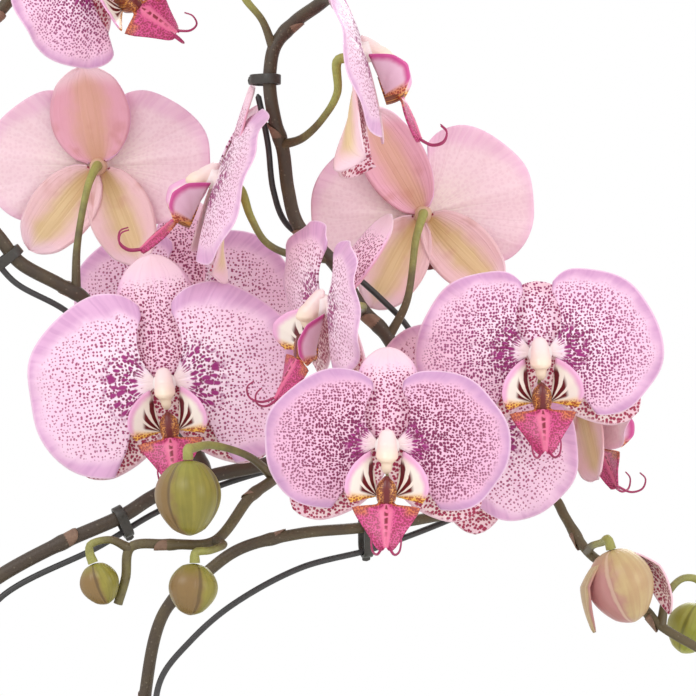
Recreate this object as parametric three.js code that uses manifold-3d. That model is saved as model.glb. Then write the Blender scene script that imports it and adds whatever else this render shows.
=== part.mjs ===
// A potted moth orchid: two flower spikes on wire stakes, twelve spotted blooms and their buds,
// strap leaves round a short crown, aerial roots, bark and a plain pot.
// Millimetres. +Z is up, the blooms are seen from -Y, and the origin is the middle of the pot's base.
import * as THREE from 'three';
import { mergeVertices } from 'three/addons/utils/BufferGeometryUtils.js';
import Module from 'manifold-3d';

const wasm = await Module();
wasm.setup();

// Driving dimensions
const GAP = 0.3;
const TEPAL_THICKNESS = 0.8;
// How far a petal's rim is from its claw, at each angle in degrees from level
const PETAL_ANGLES = [-52, -35, -10, 14, 38, 62, 82];
const PETAL_REACHES = [31, 39.3, 45.8, 45.5, 40.6, 34, 26];
const SEPAL_LENGTH = 44;
const SEPAL_WIDTH = 28;
const LIP_REACH = 39;
// Where the middle lobe starts: how far below the hub, and how far in front of it
const LIP_FOOT = 21;
const LIP_FRONT = 10.5;
const LIP_HALF_WIDTH = 14.5;
const COLUMN_HEIGHT = 17;
const COLUMN_WIDTH = 7.6;
const CLAW_FOOT = 2.6;
const CLAW_REACH = 0.5;
const HUB_BACK = 5;
const HUB_FRONT = 4.5;
const TENDRIL_RADIUS = 0.6;
const STEM_RADIUS = 2.8;
const STALK_RADIUS = 1.8;
const WIRE_RADIUS = 1.25;
const CLIP_WIDTH = 4;
const CLIP_WALL = 1.2;
const BUD_LENGTH = 28;
const LEAF_THICKNESS = 2.2;
const CROWN_RADIUS = 10;
const CROWN_FOOT = 92;
const CROWN_TOP = 176;
const SOCKET_RADIUS = 3.6;
const SOCKET_DEPTH = 26;
const ROOT_RADIUS = 2.6;
const ROOT_LEVEL = 116;
const POT_HEIGHT = 125;
const POT_TOP_RADIUS = 70;
const POT_BASE_RADIUS = 50;
const POT_WALL = 4.5;
const BARK_LEVEL = 108;
const STAKE_DEPTH = 70;

const Z_AXIS = new THREE.Vector3(0, 0, 1);
const radians = THREE.MathUtils.degToRad;
const vector = (place) => new THREE.Vector3(...place);

// Where each bloom is held. Turn 0 faces -Y and plus turns it to +X, lift tips its face up, and roll
// turns it anticlockwise for one who looks at its face. Sweep bends the petals back, splay opens the lateral
// sepals from straight down, and twist turns their inner edges back. Petal scales a petal's length, its upper
// half and its lower half, and open draws in its upper edge. Fold tips the lip forward. Stalk is the route from
// the stem.
const BLOOMS = {
  a: { at: [34, -2, 455], turn: 0, lift: 0, roll: 7, size: 1.07, dorsal: 1.07, dorsalBreadth: 1.14, splay: 50,
    petal: [1.07, 1.18, 1.36],
    stalk: [[37, 24, 441], [35, 12, 453]] },
  b: { at: [99, -28, 486], turn: -70, lift: 0, roll: -14, size: 0.92, sweep: -6, dorsal: 0.86,
    dorsalReflex: 28, stalk: [[113, 22, 485], [113, -4, 486]] },
  c: { at: [122, -76, 432], turn: 0, lift: 0, roll: -1, size: 0.92, dorsal: 0.88, splay: 55,
    petal: [1.05, 1.04, 1.1],
    stalk: [[124, 10, 398], [124, -12, 402], [123, -52, 425]] },
  d: { at: [182, -35, 467], turn: 0, lift: 0, roll: 2, size: 0.97, dorsal: 0.62, splay: 58,
    petal: [1.03, 1.12, 1.06],
    stalk: [[182, 24, 411], [184, 27, 434], [184, 20, 458], [182, -8, 469]] },
  e: { at: [4, 50, 544], turn: 180, lift: 0, roll: 0, size: 0.95, dorsal: 0.95, dorsalSwing: -9,
    dorsalBreadth: 1.24, splay: 30, lateralSwing: 8, petal: [1.02, 1.08, 1.04], open: 0, fold: 80,
    stalk: [[-3, 25, 491], [-3, 25, 510], [1, 31, 535]] },
  f: { at: [138, 45, 524], turn: 180, lift: 0, roll: -8, size: 0.94, dorsal: 1.16, dorsalSwing: -22,
    splay: 36, petal: [1.02, 1.2, 1.1], open: 0, fold: 80,
    stalk: [[125, 22, 474], [131, 24, 488], [135, 29, 514]] },
  g: { at: [55, 13, 537], turn: -82, lift: 22, roll: -8, size: 1.0, sweep: 7, twist: 30, dorsal: 0.88,
    dorsalReflex: -10, petal: [1.0, 1.12, 1.35],
    stalk: [[99, 22, 505], [84, 18, 507], [74, 13, 512], [68, 11, 522]] },
  h: { at: [112, -27, 585], turn: 88, lift: 18, roll: 0, size: 0.97, sweep: 5, twist: 42, dorsal: 0.9,
    dorsalReflex: -4, lateral: 1.3, petal: [1, 1.1, 1.5], fold: -20,
    stalk: [[84, 2, 549], [89, -3, 553], [97, -13, 560], [103, -22, 570]] },
  i: { at: [4, 5, 620], turn: 36, lift: 0, roll: 50, size: 0.95, lateral: 0.8, lateralSwing: -10,
    petal: [0.84, 1.0, 1.28],
    stalk: [[-20, 16, 622], [-8, 18, 622]] },
  j: { at: [202, 32, 450], turn: 120, lift: 0, roll: 0, size: 0.88, splay: 34,
    stalk: [[188, 22, 408], [189, 18, 424], [196, 20, 441]] },
  k: { at: [157, -5, 439], turn: 0, lift: 0, roll: -42, size: 0.95, dorsal: 0.74,
    stalk: [[157, 21, 404], [157, 23, 420], [157, 14, 435]] },
  l: { at: [38, 100, 488], turn: 0, lift: 0, roll: 0, size: 1.0,
    stalk: [[26, 28, 453], [28, 42, 450], [33, 84, 438], [37, 116, 452], [38, 119, 478]] },
};

// Buds: where the middle is, which way the tip points, the length, and the route of the stalk.
const BUDS = {
  large: { at: [46, -57, 411.5], tip: [0.02, 0, -1], length: 29, breadth: 0.88,
    stalk: [[78, -18, 417], [68, -33, 427], [54, -45, 431.5], [47, -54, 430.5]] },
  middle: { at: [47, -52, 376], tip: [-0.1, 0, -1], length: 20, breadth: 0.95,
    stalk: [[55, -43, 394], [59, -48, 393], [54, -52, 391]] },
  small: { at: [11.5, -50, 378], tip: [0.35, 0, -1], length: 16.5, breadth: 0.92,
    stalk: [[22, -47, 392], [15, -49, 395], [7.5, -50, 393]] },
  opening: { at: [216, -15, 375], tip: [0.3, 0, -0.95], length: 30, breadth: 0.88,
    stalk: [[203, 12, 386], [205, 2, 390], [208.5, -9, 392]] },
  edge: { at: [245.5, 13, 356], tip: [-0.35, 0, -0.94], length: 21, breadth: 0.9,
    stalk: [[233, -1, 358], [235, 3, 370], [242, 9, 376.5], [248.5, 12, 375.5]] },
  end_right: { at: [272, -9, 331], tip: [0.6, 0, -0.7], length: 13, breadth: 0.8,
    stalk: [[259, -8, 343]] },
  upper: { at: [53, -6, 622], tip: [-0.7, 0, 0.5], length: 22, breadth: 0.85,
    stalk: [[78, 0, 589], [73, -2, 600], [66, -5, 609]] },
  end_upper: { at: [111, 17, 652], tip: [0.2, 0, 0.9], length: 15, breadth: 0.8,
    stalk: [[108, 17, 636]] },
  end_left: { at: [-3, 32, 654], tip: [0.5, 0.1, 0.8], length: 15, breadth: 0.8,
    stalk: [[-12, 23, 634]] },
};

// Routes of the stems and of the wire stakes bent along them
const RIGHT_SPIKE = [
  [0, -3, 142], [7, -9, 160], [17, -9, 210], [24, -4, 275], [26, 0, 330], [34, 0, 364], [50, -3, 379],
  [64, -4, 389], [88, 0, 395], [112, 6, 397], [136, 14, 400], [161, 22, 405], [181, 24, 411],
  [191, 21, 408], [195, 18, 401], [204, 12, 387], [217, 6, 377], [230, 0, 360], [246, -5, 350], [261, -8, 342],
];
const LEFT_SPIKE = [
  [0, -3, 152], [-8, -9, 168], [-33, -14, 215], [-55, -11, 270], [-61, -8, 325], [-50, -6, 364],
  [-32, -5, 378],
  [-8, -2, 391], [17, 3, 402], [30, 7, 410], [50, 12, 417], [73, 14, 422], [100, 18, 428], [124, 23, 444],
  [129, 24, 460], [123, 23, 474], [113, 22, 485], [102, 22, 503], [87, 21, 519], [83, 16, 533], [81, 9, 549],
  [78, 3, 560], [76, 0, 572], [76, 0, 580], [78, 0, 590], [86, 4, 600], [96, 11, 608], [104, 16, 616],
  [108, 17, 626], [110, 17, 640],
];
const LEFT_BRANCH = [
  [50, 12, 418], [43, 20, 432], [31, 28, 448], [14, 31, 468], [0, 26, 489], [-10, 24, 495],
  [-26, 20, 504], [-34, 18, 514], [-49, 14, 533], [-56, 10, 561], [-48, 8, 588], [-33, 11, 605],
  [-20, 16, 622], [-11, 24, 636],
];
const BUD_BRANCH = [
  [84, 16, 424], [83, -4, 421], [76, -22, 416], [69, -31, 411], [55, -43, 394], [40, -46, 393],
  [23, -47, 392], [21, -47, 380], [18, -46, 370],
];
const RIGHT_WIRE = [
  [26, -26, STAKE_DEPTH], [26, -26, 100], [26, -26, 130], [28, -22, 200], [30, -14, 270], [30, -8, 322],
  [33, -6, 338], [44, -6, 352], [60, -4, 366], [88, 3, 381], [116, 10, 388], [134, 17, 394], [150, 24, 400],
];
const LEFT_WIRE = [
  [-18, -28, STAKE_DEPTH], [-18, -28, 100], [-18, -28, 130], [-26, -27, 190], [-42, -21, 250],
  [-49, -14, 312], [-44, -7, 348], [-32, -5, 369], [8, 1, 390], [30, 10, 403], [54, 18, 413], [73, 20, 419],
  [100, 25, 425], [128, 31, 438],
  [138, 34, 460], [132, 32, 477], [121, 30, 489], [106, 29, 502], [94, 28, 511], [82, 26, 520], [77, 19, 533],
  [75, 11, 551], [73, 6, 562], [71, 3, 571],
];
const BRANCH_WIRE = [
  [40, 19, 424], [33, 26, 433], [24, 31, 443], [9, 34, 463], [-6, 26, 483], [-28, 20, 496], [-38, 17, 508],
  [-47, 14, 519],
];

// Which way each leaf points, how long and how steep it is, and how high it leaves the crown
const LEAVES = [
  { heading: 12, length: 235, width: 84, rise: 50, droop: 74, foot: 122 },
  { heading: 168, length: 225, width: 82, rise: 66, droop: 66, foot: 131 },
  { heading: 46, length: 195, width: 76, rise: 96, droop: 44, foot: 142 },
  { heading: 131, length: 180, width: 72, rise: 112, droop: 36, foot: 151 },
  { heading: 88, length: 120, width: 56, rise: 104, droop: 8, foot: 162 },
];

const ROOTS = [
  [[0, -12, ROOT_LEVEL], [12, -32, 120], [30, -46, 127], [38, -54, 130], [45, -62, 128], [49, -65, 112],
    [48, -63, 84]],
  [[-8, -9, ROOT_LEVEL], [-30, -20, 120], [-46, -28, 126], [-58, -36, 130], [-66, -41, 126], [-68, -44, 108]],
  [[10, 8, ROOT_LEVEL], [32, 22, 120], [48, 30, 127], [58, 36, 130], [66, 41, 127], [69, 44, 108],
    [67, 43, 92]],
  [[-6, 11, ROOT_LEVEL], [-20, 34, 119], [-27, 50, 121]],
];

// Finishes, read from the photograph
const FINISHES = {
  tepal: { color: 0xeec3dc, roughness: 0.5 },
  lip: { color: 0xc4417f, roughness: 0.45 },
  bud: { color: 0x9b9a55, roughness: 0.5 },
  stem: { color: 0x4d443c, roughness: 0.55 },
  wire: { color: 0x3a3836, roughness: 0.4, metalness: 0.6 },
  clip: { color: 0x2c332d, roughness: 0.5 },
  leaf: { color: 0x3f6b35, roughness: 0.4 },
  crown: { color: 0x6b7f45, roughness: 0.6 },
  root: { color: 0x9aa38a, roughness: 0.8 },
  bark: { color: 0x6d4a31, roughness: 0.95 },
  pot: { color: 0xece9e2, roughness: 0.25 },
};

// Solids

function solidOf(geometry) {
  const bare = geometry.clone();
  bare.deleteAttribute('normal');
  bare.deleteAttribute('uv');
  const merged = mergeVertices(bare, 1e-4);
  const corners = merged.index.array;
  const kept = [];
  for (let i = 0; i < corners.length; i += 3) {
    const [a, b, c] = corners.subarray(i, i + 3);
    if (a !== b && b !== c && a !== c) {
      kept.push(a, b, c);
    }
  }
  const vertProperties = new Float32Array(merged.attributes.position.array);
  return new wasm.Manifold(new wasm.Mesh({ numProp: 3, vertProperties, triVerts: new Uint32Array(kept) }));
}

function geometryOf(solid) {
  const mesh = solid.getMesh();
  const geometry = new THREE.BufferGeometry();
  geometry.setAttribute('position', new THREE.BufferAttribute(mesh.vertProperties, 3));
  geometry.setIndex(new THREE.BufferAttribute(mesh.triVerts, 1));
  return geometry;
}

function fuse(geometries) {
  return geometryOf(geometries.map(solidOf).reduce((whole, next) => whole.add(next)));
}

function cut(geometry, tools) {
  return geometryOf(tools.map(solidOf).reduce((whole, tool) => whole.subtract(tool), solidOf(geometry)));
}

function closedMesh(points, triangles) {
  const geometry = new THREE.BufferGeometry();
  geometry.setAttribute('position', new THREE.Float32BufferAttribute(points.flatMap((p) => p.toArray()), 3));
  geometry.setIndex(triangles.flat());
  return geometry;
}

// Rings of points joined into a skin with a flat end on the first and the last ring
function loft(rings) {
  const sides = rings[0].length;
  const triangles = [];
  for (let i = 0; i < rings.length - 1; i += 1) {
    for (let k = 0; k < sides; k += 1) {
      const next = (k + 1) % sides;
      const low = i * sides;
      const high = low + sides;
      triangles.push([low + k, low + next, high + next], [low + k, high + next, high + k]);
    }
  }
  const last = (rings.length - 1) * sides;
  for (let k = 1; k < sides - 1; k += 1) {
    triangles.push([0, k + 1, k], [last, last + k, last + k + 1]);
  }
  return closedMesh(rings.flat(), triangles);
}

function curveThrough(points) {
  return new THREE.CatmullRomCurve3(points.map(vector), false, 'centripetal');
}

// A tube along a curve, whose radius is a function of the share of the way along it
function taperedTube(curve, radiusAt, sides, steps) {
  const frames = curve.computeFrenetFrames(steps, false);
  const rings = [];
  for (let i = 0; i <= steps; i += 1) {
    const middle = curve.getPointAt(i / steps);
    const ring = [];
    for (let k = 0; k < sides; k += 1) {
      const angle = (2 * Math.PI * k) / sides;
      const spoke = frames.normals[i].clone().multiplyScalar(Math.cos(angle));
      spoke.addScaledVector(frames.binormals[i], Math.sin(angle));
      ring.push(middle.clone().addScaledVector(spoke, radiusAt(i / steps)));
    }
    rings.push(ring);
  }
  return loft(rings);
}

// A thin solid round the surface that surface(u, v) gives. Both faces are split alike.
function blade(surface, uStops, vStops, thickness) {
  const step = 1e-3;
  const points = [];
  for (const side of [0.5, -0.5]) {
    for (const u of uStops) {
      for (const v of vStops) {
        const along = surface(Math.min(u + step, 1), v).sub(surface(Math.max(u - step, 0), v));
        const across = surface(u, v + step).sub(surface(u, v - step));
        const normal = along.cross(across).normalize();
        points.push(surface(u, v).addScaledVector(normal, side * thickness));
      }
    }
  }
  const rows = uStops.length;
  const columns = vStops.length;
  const backOf = rows * columns;
  const triangles = [];
  for (let i = 0; i < rows - 1; i += 1) {
    for (let j = 0; j < columns - 1; j += 1) {
      const a = i * columns + j;
      const b = a + columns;
      const c = b + 1;
      const d = a + 1;
      triangles.push([a, b, c], [a, c, d]);
      triangles.push([backOf + a, backOf + c, backOf + b], [backOf + a, backOf + d, backOf + c]);
    }
  }
  const rim = [];
  for (let i = 0; i < rows - 1; i += 1) rim.push(i * columns);
  for (let j = 0; j < columns - 1; j += 1) rim.push((rows - 1) * columns + j);
  for (let i = rows - 1; i > 0; i -= 1) rim.push(i * columns + columns - 1);
  for (let j = columns - 1; j > 0; j -= 1) rim.push(j);
  rim.forEach((p, k) => {
    const q = rim[(k + 1) % rim.length];
    triangles.push([q, p, backOf + p], [q, backOf + p, backOf + q]);
  });
  return closedMesh(points, triangles);
}

function interpolate(stopsAlong, values, u) {
  let i = 1;
  while (i < stopsAlong.length - 1 && u > stopsAlong[i]) {
    i += 1;
  }
  const share = (u - stopsAlong[i - 1]) / (stopsAlong[i] - stopsAlong[i - 1]);
  return values[i - 1] + (values[i] - values[i - 1]) * share;
}

// One bloom, about its own centre: x to its right, y up and z out of its face

function petal(side, { size, sweep = 0, open = 4.5, petal: [long, upper, lower] = [1, 1.05, 1.03] }) {
  const lean = Math.tan(radians(sweep));
  const surface = (u, degrees) => {
    const angle = radians(degrees);
    const reach = CLAW_REACH + (size * interpolate(PETAL_ANGLES, PETAL_REACHES, degrees) - CLAW_REACH) * u;
    const waist = Math.sin(Math.PI * Math.min(1, reach / (22 * size)));
    const over = Math.max(0, (degrees - 45) / 37);
    const under = Math.max(0, (-degrees - 20) / 32);
    const x = CLAW_FOOT + long * reach * Math.cos(angle) + waist * (open * over + 1.5 * under);
    const y = 0.5 + reach * Math.sin(angle) * (degrees > 0 ? upper : lower) + 2.5 * waist * under;
    const wave = 1.2 * u * u * u * Math.sin(5 * angle);
    const z = 1.4 + 3 * u - 6 * u * u + wave - lean * reach * Math.cos(angle);
    return new THREE.Vector3(side * x, y, z);
  };
  return blade(surface, [0, 0.5, 1], PETAL_ANGLES, TEPAL_THICKNESS);
}

function sepalHalfWidth(u) {
  const swell = Math.sin(Math.PI * Math.min(1, 0.94 * u ** 0.85)) ** 0.75;
  return 3.6 + (SEPAL_WIDTH / 2 - 3.6) * swell;
}

// A sepal that leaves the hub at an angle in the bloom's plane and bends back by a reflex. Its slant
// takes one edge back: plus the right-hand edge for one who looks out along it, and minus the other.
function sepal({ angle, foot, size, stretch = 1, breadth = 1, reflex = radians(4), slant = 0 }) {
  const along = new THREE.Vector3(Math.cos(angle), Math.sin(angle), 0);
  const across = new THREE.Vector3(-Math.sin(angle), Math.cos(angle), 0);
  const surface = (u, v) => {
    const reach = size * stretch * SEPAL_LENGTH * u;
    const halfWidth = size * breadth * sepalHalfWidth(u);
    const point = new THREE.Vector3(foot[0], foot[1], -1.6 - Math.tan(reflex) * reach - 1.5 * v * v);
    point.addScaledVector(along, reach);
    point.addScaledVector(across, v * halfWidth);
    point.z -= 2.5 * u * u + Math.abs(slant) * (1 - Math.sign(slant) * v) * halfWidth * u;
    return point;
  };
  return blade(surface, [0, 0.35, 0.75, 1], [-1, 0, 1], TEPAL_THICKNESS);
}

function column() {
  const cap = new THREE.SphereGeometry(1, 6, 4);
  cap.scale(COLUMN_WIDTH / 2, COLUMN_HEIGHT / 2, 5);
  cap.translate(0, -2, 7);
  return cap;
}

function hub() {
  const spine = new THREE.LineCurve3(new THREE.Vector3(0, 0, -HUB_BACK), new THREE.Vector3(0, 0, HUB_FRONT));
  return taperedTube(spine, (share) => 3 + 1.8 * share, 6, 1);
}

function tepals(spec) {
  const { size, dorsal = 1, dorsalSwing = 0, dorsalReflex = 4, dorsalBreadth = 1 } = spec;
  const { splay = 43, lateral = 1, lateralSwing = 0, twist = 0 } = spec;
  const slant = Math.tan(radians(twist));
  return fuse([
    hub(),
    column(),
    petal(1, spec),
    petal(-1, spec),
    sepal({
      angle: radians(90 + dorsalSwing), foot: [0, 2], size, stretch: dorsal, breadth: dorsalBreadth,
      reflex: radians(dorsalReflex),
    }),
    sepal({ angle: radians(-90 + splay + lateralSwing), foot: [2.2, -1.6], size, stretch: lateral, slant }),
    sepal({
      angle: radians(270 - splay + lateralSwing), foot: [-2.2, -1.6], size, stretch: lateral, slant: -slant,
    }),
  ]);
}

// A side lobe fans out from the callus, from outwards to straight up, and cups forward
function sideLobe(side) {
  const angles = [-12, 12, 35, 60, 80];
  const reaches = [10.6, 12.9, 14.3, 15.9, 17.4];
  const forwards = [7, 11, 11.5, 7.5, -1];
  const surface = (u, degrees) => {
    const reach = interpolate(angles, reaches, degrees) * (0.06 + 0.94 * u);
    const x = 3.2 + reach * Math.cos(radians(degrees));
    const y = -19 + reach * Math.sin(radians(degrees));
    const z = 4.5 + interpolate(angles, forwards, degrees) * u ** 1.3;
    return new THREE.Vector3(side * x, y, z);
  };
  return blade(surface, [0, 0.55, 1], angles, TEPAL_THICKNESS);
}

function middleLobe() {
  const shares = [0, 0.1, 0.18, 0.6, 1];
  const halfWidths = [2.6, 4, LIP_HALF_WIDTH - 1.5, 7.5, 2.6];
  const surface = (u, v) => {
    const y = -LIP_FOOT - (LIP_REACH - LIP_FOOT) * u;
    const z = LIP_FRONT + 8.5 * u - 2.4 * Math.abs(v);
    return new THREE.Vector3(v * interpolate(shares, halfWidths, u), y, z);
  };
  return blade(surface, shares, [-1, 0, 1], TEPAL_THICKNESS);
}

function callus() {
  const outline = new THREE.Shape([
    new THREE.Vector2(-3, -23), new THREE.Vector2(3, -23), new THREE.Vector2(3.9, -17.5),
    new THREE.Vector2(3.4, -12.8), new THREE.Vector2(1.6, -12.6), new THREE.Vector2(0, -11),
    new THREE.Vector2(-1.6, -12.6), new THREE.Vector2(-3.4, -12.8), new THREE.Vector2(-3.9, -17.5),
  ]);
  const block = new THREE.ExtrudeGeometry(outline, { depth: 8, bevelEnabled: false });
  block.translate(0, 0, 3.5);
  return block;
}

// A thin thread that curls up from the tip of the lip
function tendril(side) {
  const route = [[1.2, -37.4, 17.2], [3.2, -40, 23], [5, -38.5, 27.5], [5.6, -34.5, 28.5], [5.2, -32, 26]];
  const curve = curveThrough(route.map(([x, y, z]) => [side * x, y, z]));
  return taperedTube(curve, () => TENDRIL_RADIUS, 3, 4);
}

// Fold turns the middle lobe and its threads forward about the line across the lip where the lobe starts
function lip({ fold = 0 }) {
  const outer = [middleLobe(), tendril(1), tendril(-1)];
  for (const solid of outer) {
    solid.translate(0, LIP_FOOT, -LIP_FRONT);
    solid.rotateX(-radians(fold));
    solid.translate(0, -LIP_FOOT, LIP_FRONT);
  }
  return fuse([callus(), sideLobe(1), sideLobe(-1), ...outer]);
}

function finish(slot) {
  return new THREE.MeshStandardMaterial({ metalness: 0, ...FINISHES[slot] });
}

function piece(name, geometry, slot) {
  const mesh = new THREE.Mesh(geometry, finish(slot));
  mesh.name = name;
  return mesh;
}

// Nested groups give a bloom its turn, then its lift, then its roll
function bloomGroup({ at, turn, lift, roll }) {
  const outer = new THREE.Group();
  outer.position.set(...at);
  outer.rotation.z = radians(turn);
  const tilted = new THREE.Group();
  tilted.rotation.x = radians(90 - lift);
  const inner = new THREE.Group();
  inner.rotation.z = radians(roll);
  outer.add(tilted);
  tilted.add(inner);
  return { outer, inner };
}

function facing({ turn, lift }) {
  const t = radians(turn);
  const e = radians(lift);
  return new THREE.Vector3(Math.sin(t) * Math.cos(e), -Math.cos(t) * Math.cos(e), Math.sin(e));
}

function bloom(letter, spec) {
  const { outer, inner } = bloomGroup(spec);
  inner.add(piece(`bloom_${letter}_tepals`, tepals(spec), 'tepal'));
  inner.add(piece(`bloom_${letter}_lip`, lip(spec), 'lip'));
  return outer;
}

// Buds

function bulb(length, breadth) {
  const sides = 8;
  const rings = [];
  for (const share of [0, 0.12, 0.35, 0.62, 0.85, 1]) {
    const ring = [];
    for (let k = 0; k < sides; k += 1) {
      const angle = (2 * Math.PI * k) / sides;
      const swell = Math.sin(Math.PI * (0.07 + 0.87 * share ** 0.9)) ** 0.75;
      const radius = (length / 2) * breadth * swell * (1 + 0.05 * Math.cos(3 * angle));
      const height = length * (share - 0.5);
      ring.push(new THREE.Vector3(radius * Math.cos(angle), radius * Math.sin(angle), height));
    }
    rings.push(ring);
  }
  return loft(rings);
}

// A sepal that peels off the opening bud: it leaves the stalk end and bends out and down
function peeledSepal(heading, length, outward) {
  const out = new THREE.Vector3(Math.cos(heading), Math.sin(heading), 0);
  const across = new THREE.Vector3(-Math.sin(heading), Math.cos(heading), 0);
  const surface = (u, v) => {
    const halfWidth = 1.5 + 6 * Math.sin(Math.PI * Math.min(1, 0.08 + u * 0.9)) ** 0.8;
    const point = new THREE.Vector3(0, 0, -BUD_LENGTH / 2 + 1 + length * u);
    const clear = 3 + 10.6 * Math.sqrt(Math.min(1, 3 * u + 0.02));
    point.addScaledVector(out, clear + outward * Math.sin(Math.PI * 0.62 * u));
    point.addScaledVector(across, v * halfWidth);
    return point.addScaledVector(out, -1.6 * v * v);
  };
  return blade(surface, [0, 0.15, 0.4, 0.7, 1], [-1, 0, 1], TEPAL_THICKNESS);
}

function bud(name, { at, tip, length, breadth }) {
  const shapes = [bulb(length, breadth)];
  if (name === 'opening') {
    shapes.push(peeledSepal(radians(352), 27, 4), peeledSepal(radians(150), 30, 5));
  }
  const mesh = piece(`bud_${name}`, fuse(shapes), 'bud');
  mesh.position.set(...at);
  mesh.quaternion.setFromUnitVectors(Z_AXIS, vector(tip).normalize());
  return mesh;
}

// Stems

function stemSteps({ points, pitch = 20 }) {
  return Math.round(curveThrough(points).getLength() / pitch);
}

function stem(spec) {
  const { points, from, to } = spec;
  return taperedTube(curveThrough(points), (share) => from + (to - from) * share, 5, stemSteps(spec));
}

// A flower stalk: its root is sunk in the stem, and it swells a little at the flower
function stalk(route, end) {
  const curve = curveThrough([...route, end]);
  return taperedTube(curve, (share) => STALK_RADIUS * (1.15 - 0.35 * Math.sin(Math.PI * share)), 4, 4);
}

// The nearest place to a point on a line of straight pieces
function nearest(line, place) {
  const spots = line.slice(1).map((end, i) => {
    return new THREE.Line3(line[i], end).closestPointToPoint(place, true, new THREE.Vector3());
  });
  return spots.sort((p, q) => p.distanceTo(place) - q.distanceTo(place))[0];
}

// The end of a stalk meets its flower or bud square on, from behind it
function heldStalk(route, direction, end) {
  const before = end.clone().addScaledVector(direction, -4);
  return stalk([...route, before.toArray()], end.toArray());
}

function spike(stems, bloomLetters, budNames) {
  const lines = stems.map((spec) => curveThrough(spec.points).getSpacedPoints(stemSteps(spec)));
  const shapes = stems.map(stem);
  const rooted = (route) => {
    const first = vector(route[0]);
    const spots = lines.map((line) => nearest(line, first));
    spots.sort((p, q) => p.distanceTo(first) - q.distanceTo(first));
    return [spots[0].toArray(), ...route.slice(1)];
  };
  for (const spec of bloomLetters.map((letter) => BLOOMS[letter])) {
    const route = rooted(spec.stalk);
    const direction = facing(spec);
    shapes.push(heldStalk(route, direction, vector(spec.at).addScaledVector(direction, -(HUB_BACK + GAP))));
  }
  for (const spec of budNames.map((name) => BUDS[name])) {
    const direction = vector(spec.tip).normalize();
    const end = vector(spec.at).addScaledVector(direction, -(spec.length / 2 + GAP));
    shapes.push(heldStalk(rooted(spec.stalk), direction, end));
  }
  return fuse(shapes);
}

function rightSpike() {
  const stems = [{ points: RIGHT_SPIKE, from: STEM_RADIUS, to: 1.7 }];
  return spike(stems, ['c', 'd', 'j', 'k'], ['opening', 'edge', 'end_right']);
}

function leftSpike() {
  const stems = [
    { points: LEFT_SPIKE, from: STEM_RADIUS, to: 2.4 },
    { points: LEFT_BRANCH, from: STEM_RADIUS, to: 2.4 },
    { points: BUD_BRANCH, from: 2.3, to: 1.7, pitch: 9 },
  ];
  const buds = ['large', 'middle', 'small', 'upper', 'end_upper', 'end_left'];
  return spike(stems, ['a', 'b', 'e', 'f', 'g', 'h', 'i', 'l'], buds);
}

// Wires and clips

function wire(points) {
  const curve = curveThrough(points);
  return taperedTube(curve, () => WIRE_RADIUS, 5, Math.round(curve.getLength() / 20));
}

function capsule(radius, distance, Path) {
  const outline = new Path();
  outline.absarc(distance, 0, radius, -Math.PI / 2, Math.PI / 2);
  outline.absarc(0, 0, radius, Math.PI / 2, (3 * Math.PI) / 2);
  return outline;
}

// A ring clip that holds a stem and its wire side by side
function clip(stemPoints, wirePoints, share) {
  const curve = curveThrough(stemPoints);
  const place = curve.getPointAt(share);
  const away = nearest(curveThrough(wirePoints).getSpacedPoints(200), place).sub(place);
  const tangent = curve.getTangentAt(share);
  away.addScaledVector(tangent, -away.dot(tangent));
  const inner = STEM_RADIUS + 2 * GAP;
  const reach = away.length() - (inner - WIRE_RADIUS - 2 * GAP);
  const outline = capsule(inner + CLIP_WALL, reach, THREE.Shape);
  outline.holes.push(capsule(inner, reach, THREE.Path));
  const options = { depth: CLIP_WIDTH, bevelEnabled: false, curveSegments: 2 };
  const band = new THREE.ExtrudeGeometry(outline, options);
  band.translate(0, 0, -CLIP_WIDTH / 2);
  const across = away.normalize();
  band.applyMatrix4(new THREE.Matrix4().makeBasis(across, tangent.clone().cross(across), tangent));
  band.translate(...place.toArray());
  return band;
}

// Leaves, crown and roots

function crownRadius(z) {
  const share = (z - CROWN_FOOT) / (CROWN_TOP - CROWN_FOOT);
  return CROWN_RADIUS * (1 - 0.45 * share * share);
}

function leaf({ heading, length, width, rise, droop, foot }) {
  const out = new THREE.Vector3(Math.cos(radians(heading)), Math.sin(radians(heading)), 0);
  const across = new THREE.Vector3(-out.y, out.x, 0);
  const steepness = Math.atan2(rise * Math.PI * 0.62, length);
  const seat = crownRadius(foot) + (LEAF_THICKNESS / 2) * Math.sin(steepness) + GAP;
  const surface = (u, v) => {
    const grown = Math.min(1, u / 0.5);
    const rounded = Math.sqrt(Math.max(0, 1 - Math.max(0, (u - 0.55) / 0.47) ** 2.4));
    const halfWidth = (9 + (width / 2 - 9) * grown * grown * (3 - 2 * grown)) * rounded;
    const reach = seat + length * (u - 0.12 * u * u);
    const lift = foot + rise * Math.sin(Math.PI * 0.62 * u) - droop * u * u + 0.16 * halfWidth * v * v;
    return new THREE.Vector3(0, 0, lift).addScaledVector(out, reach).addScaledVector(across, v * halfWidth);
  };
  return blade(surface, [0, 0.15, 0.32, 0.5, 0.68, 0.84, 0.95, 1], [-1, 0, 1], LEAF_THICKNESS);
}

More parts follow.
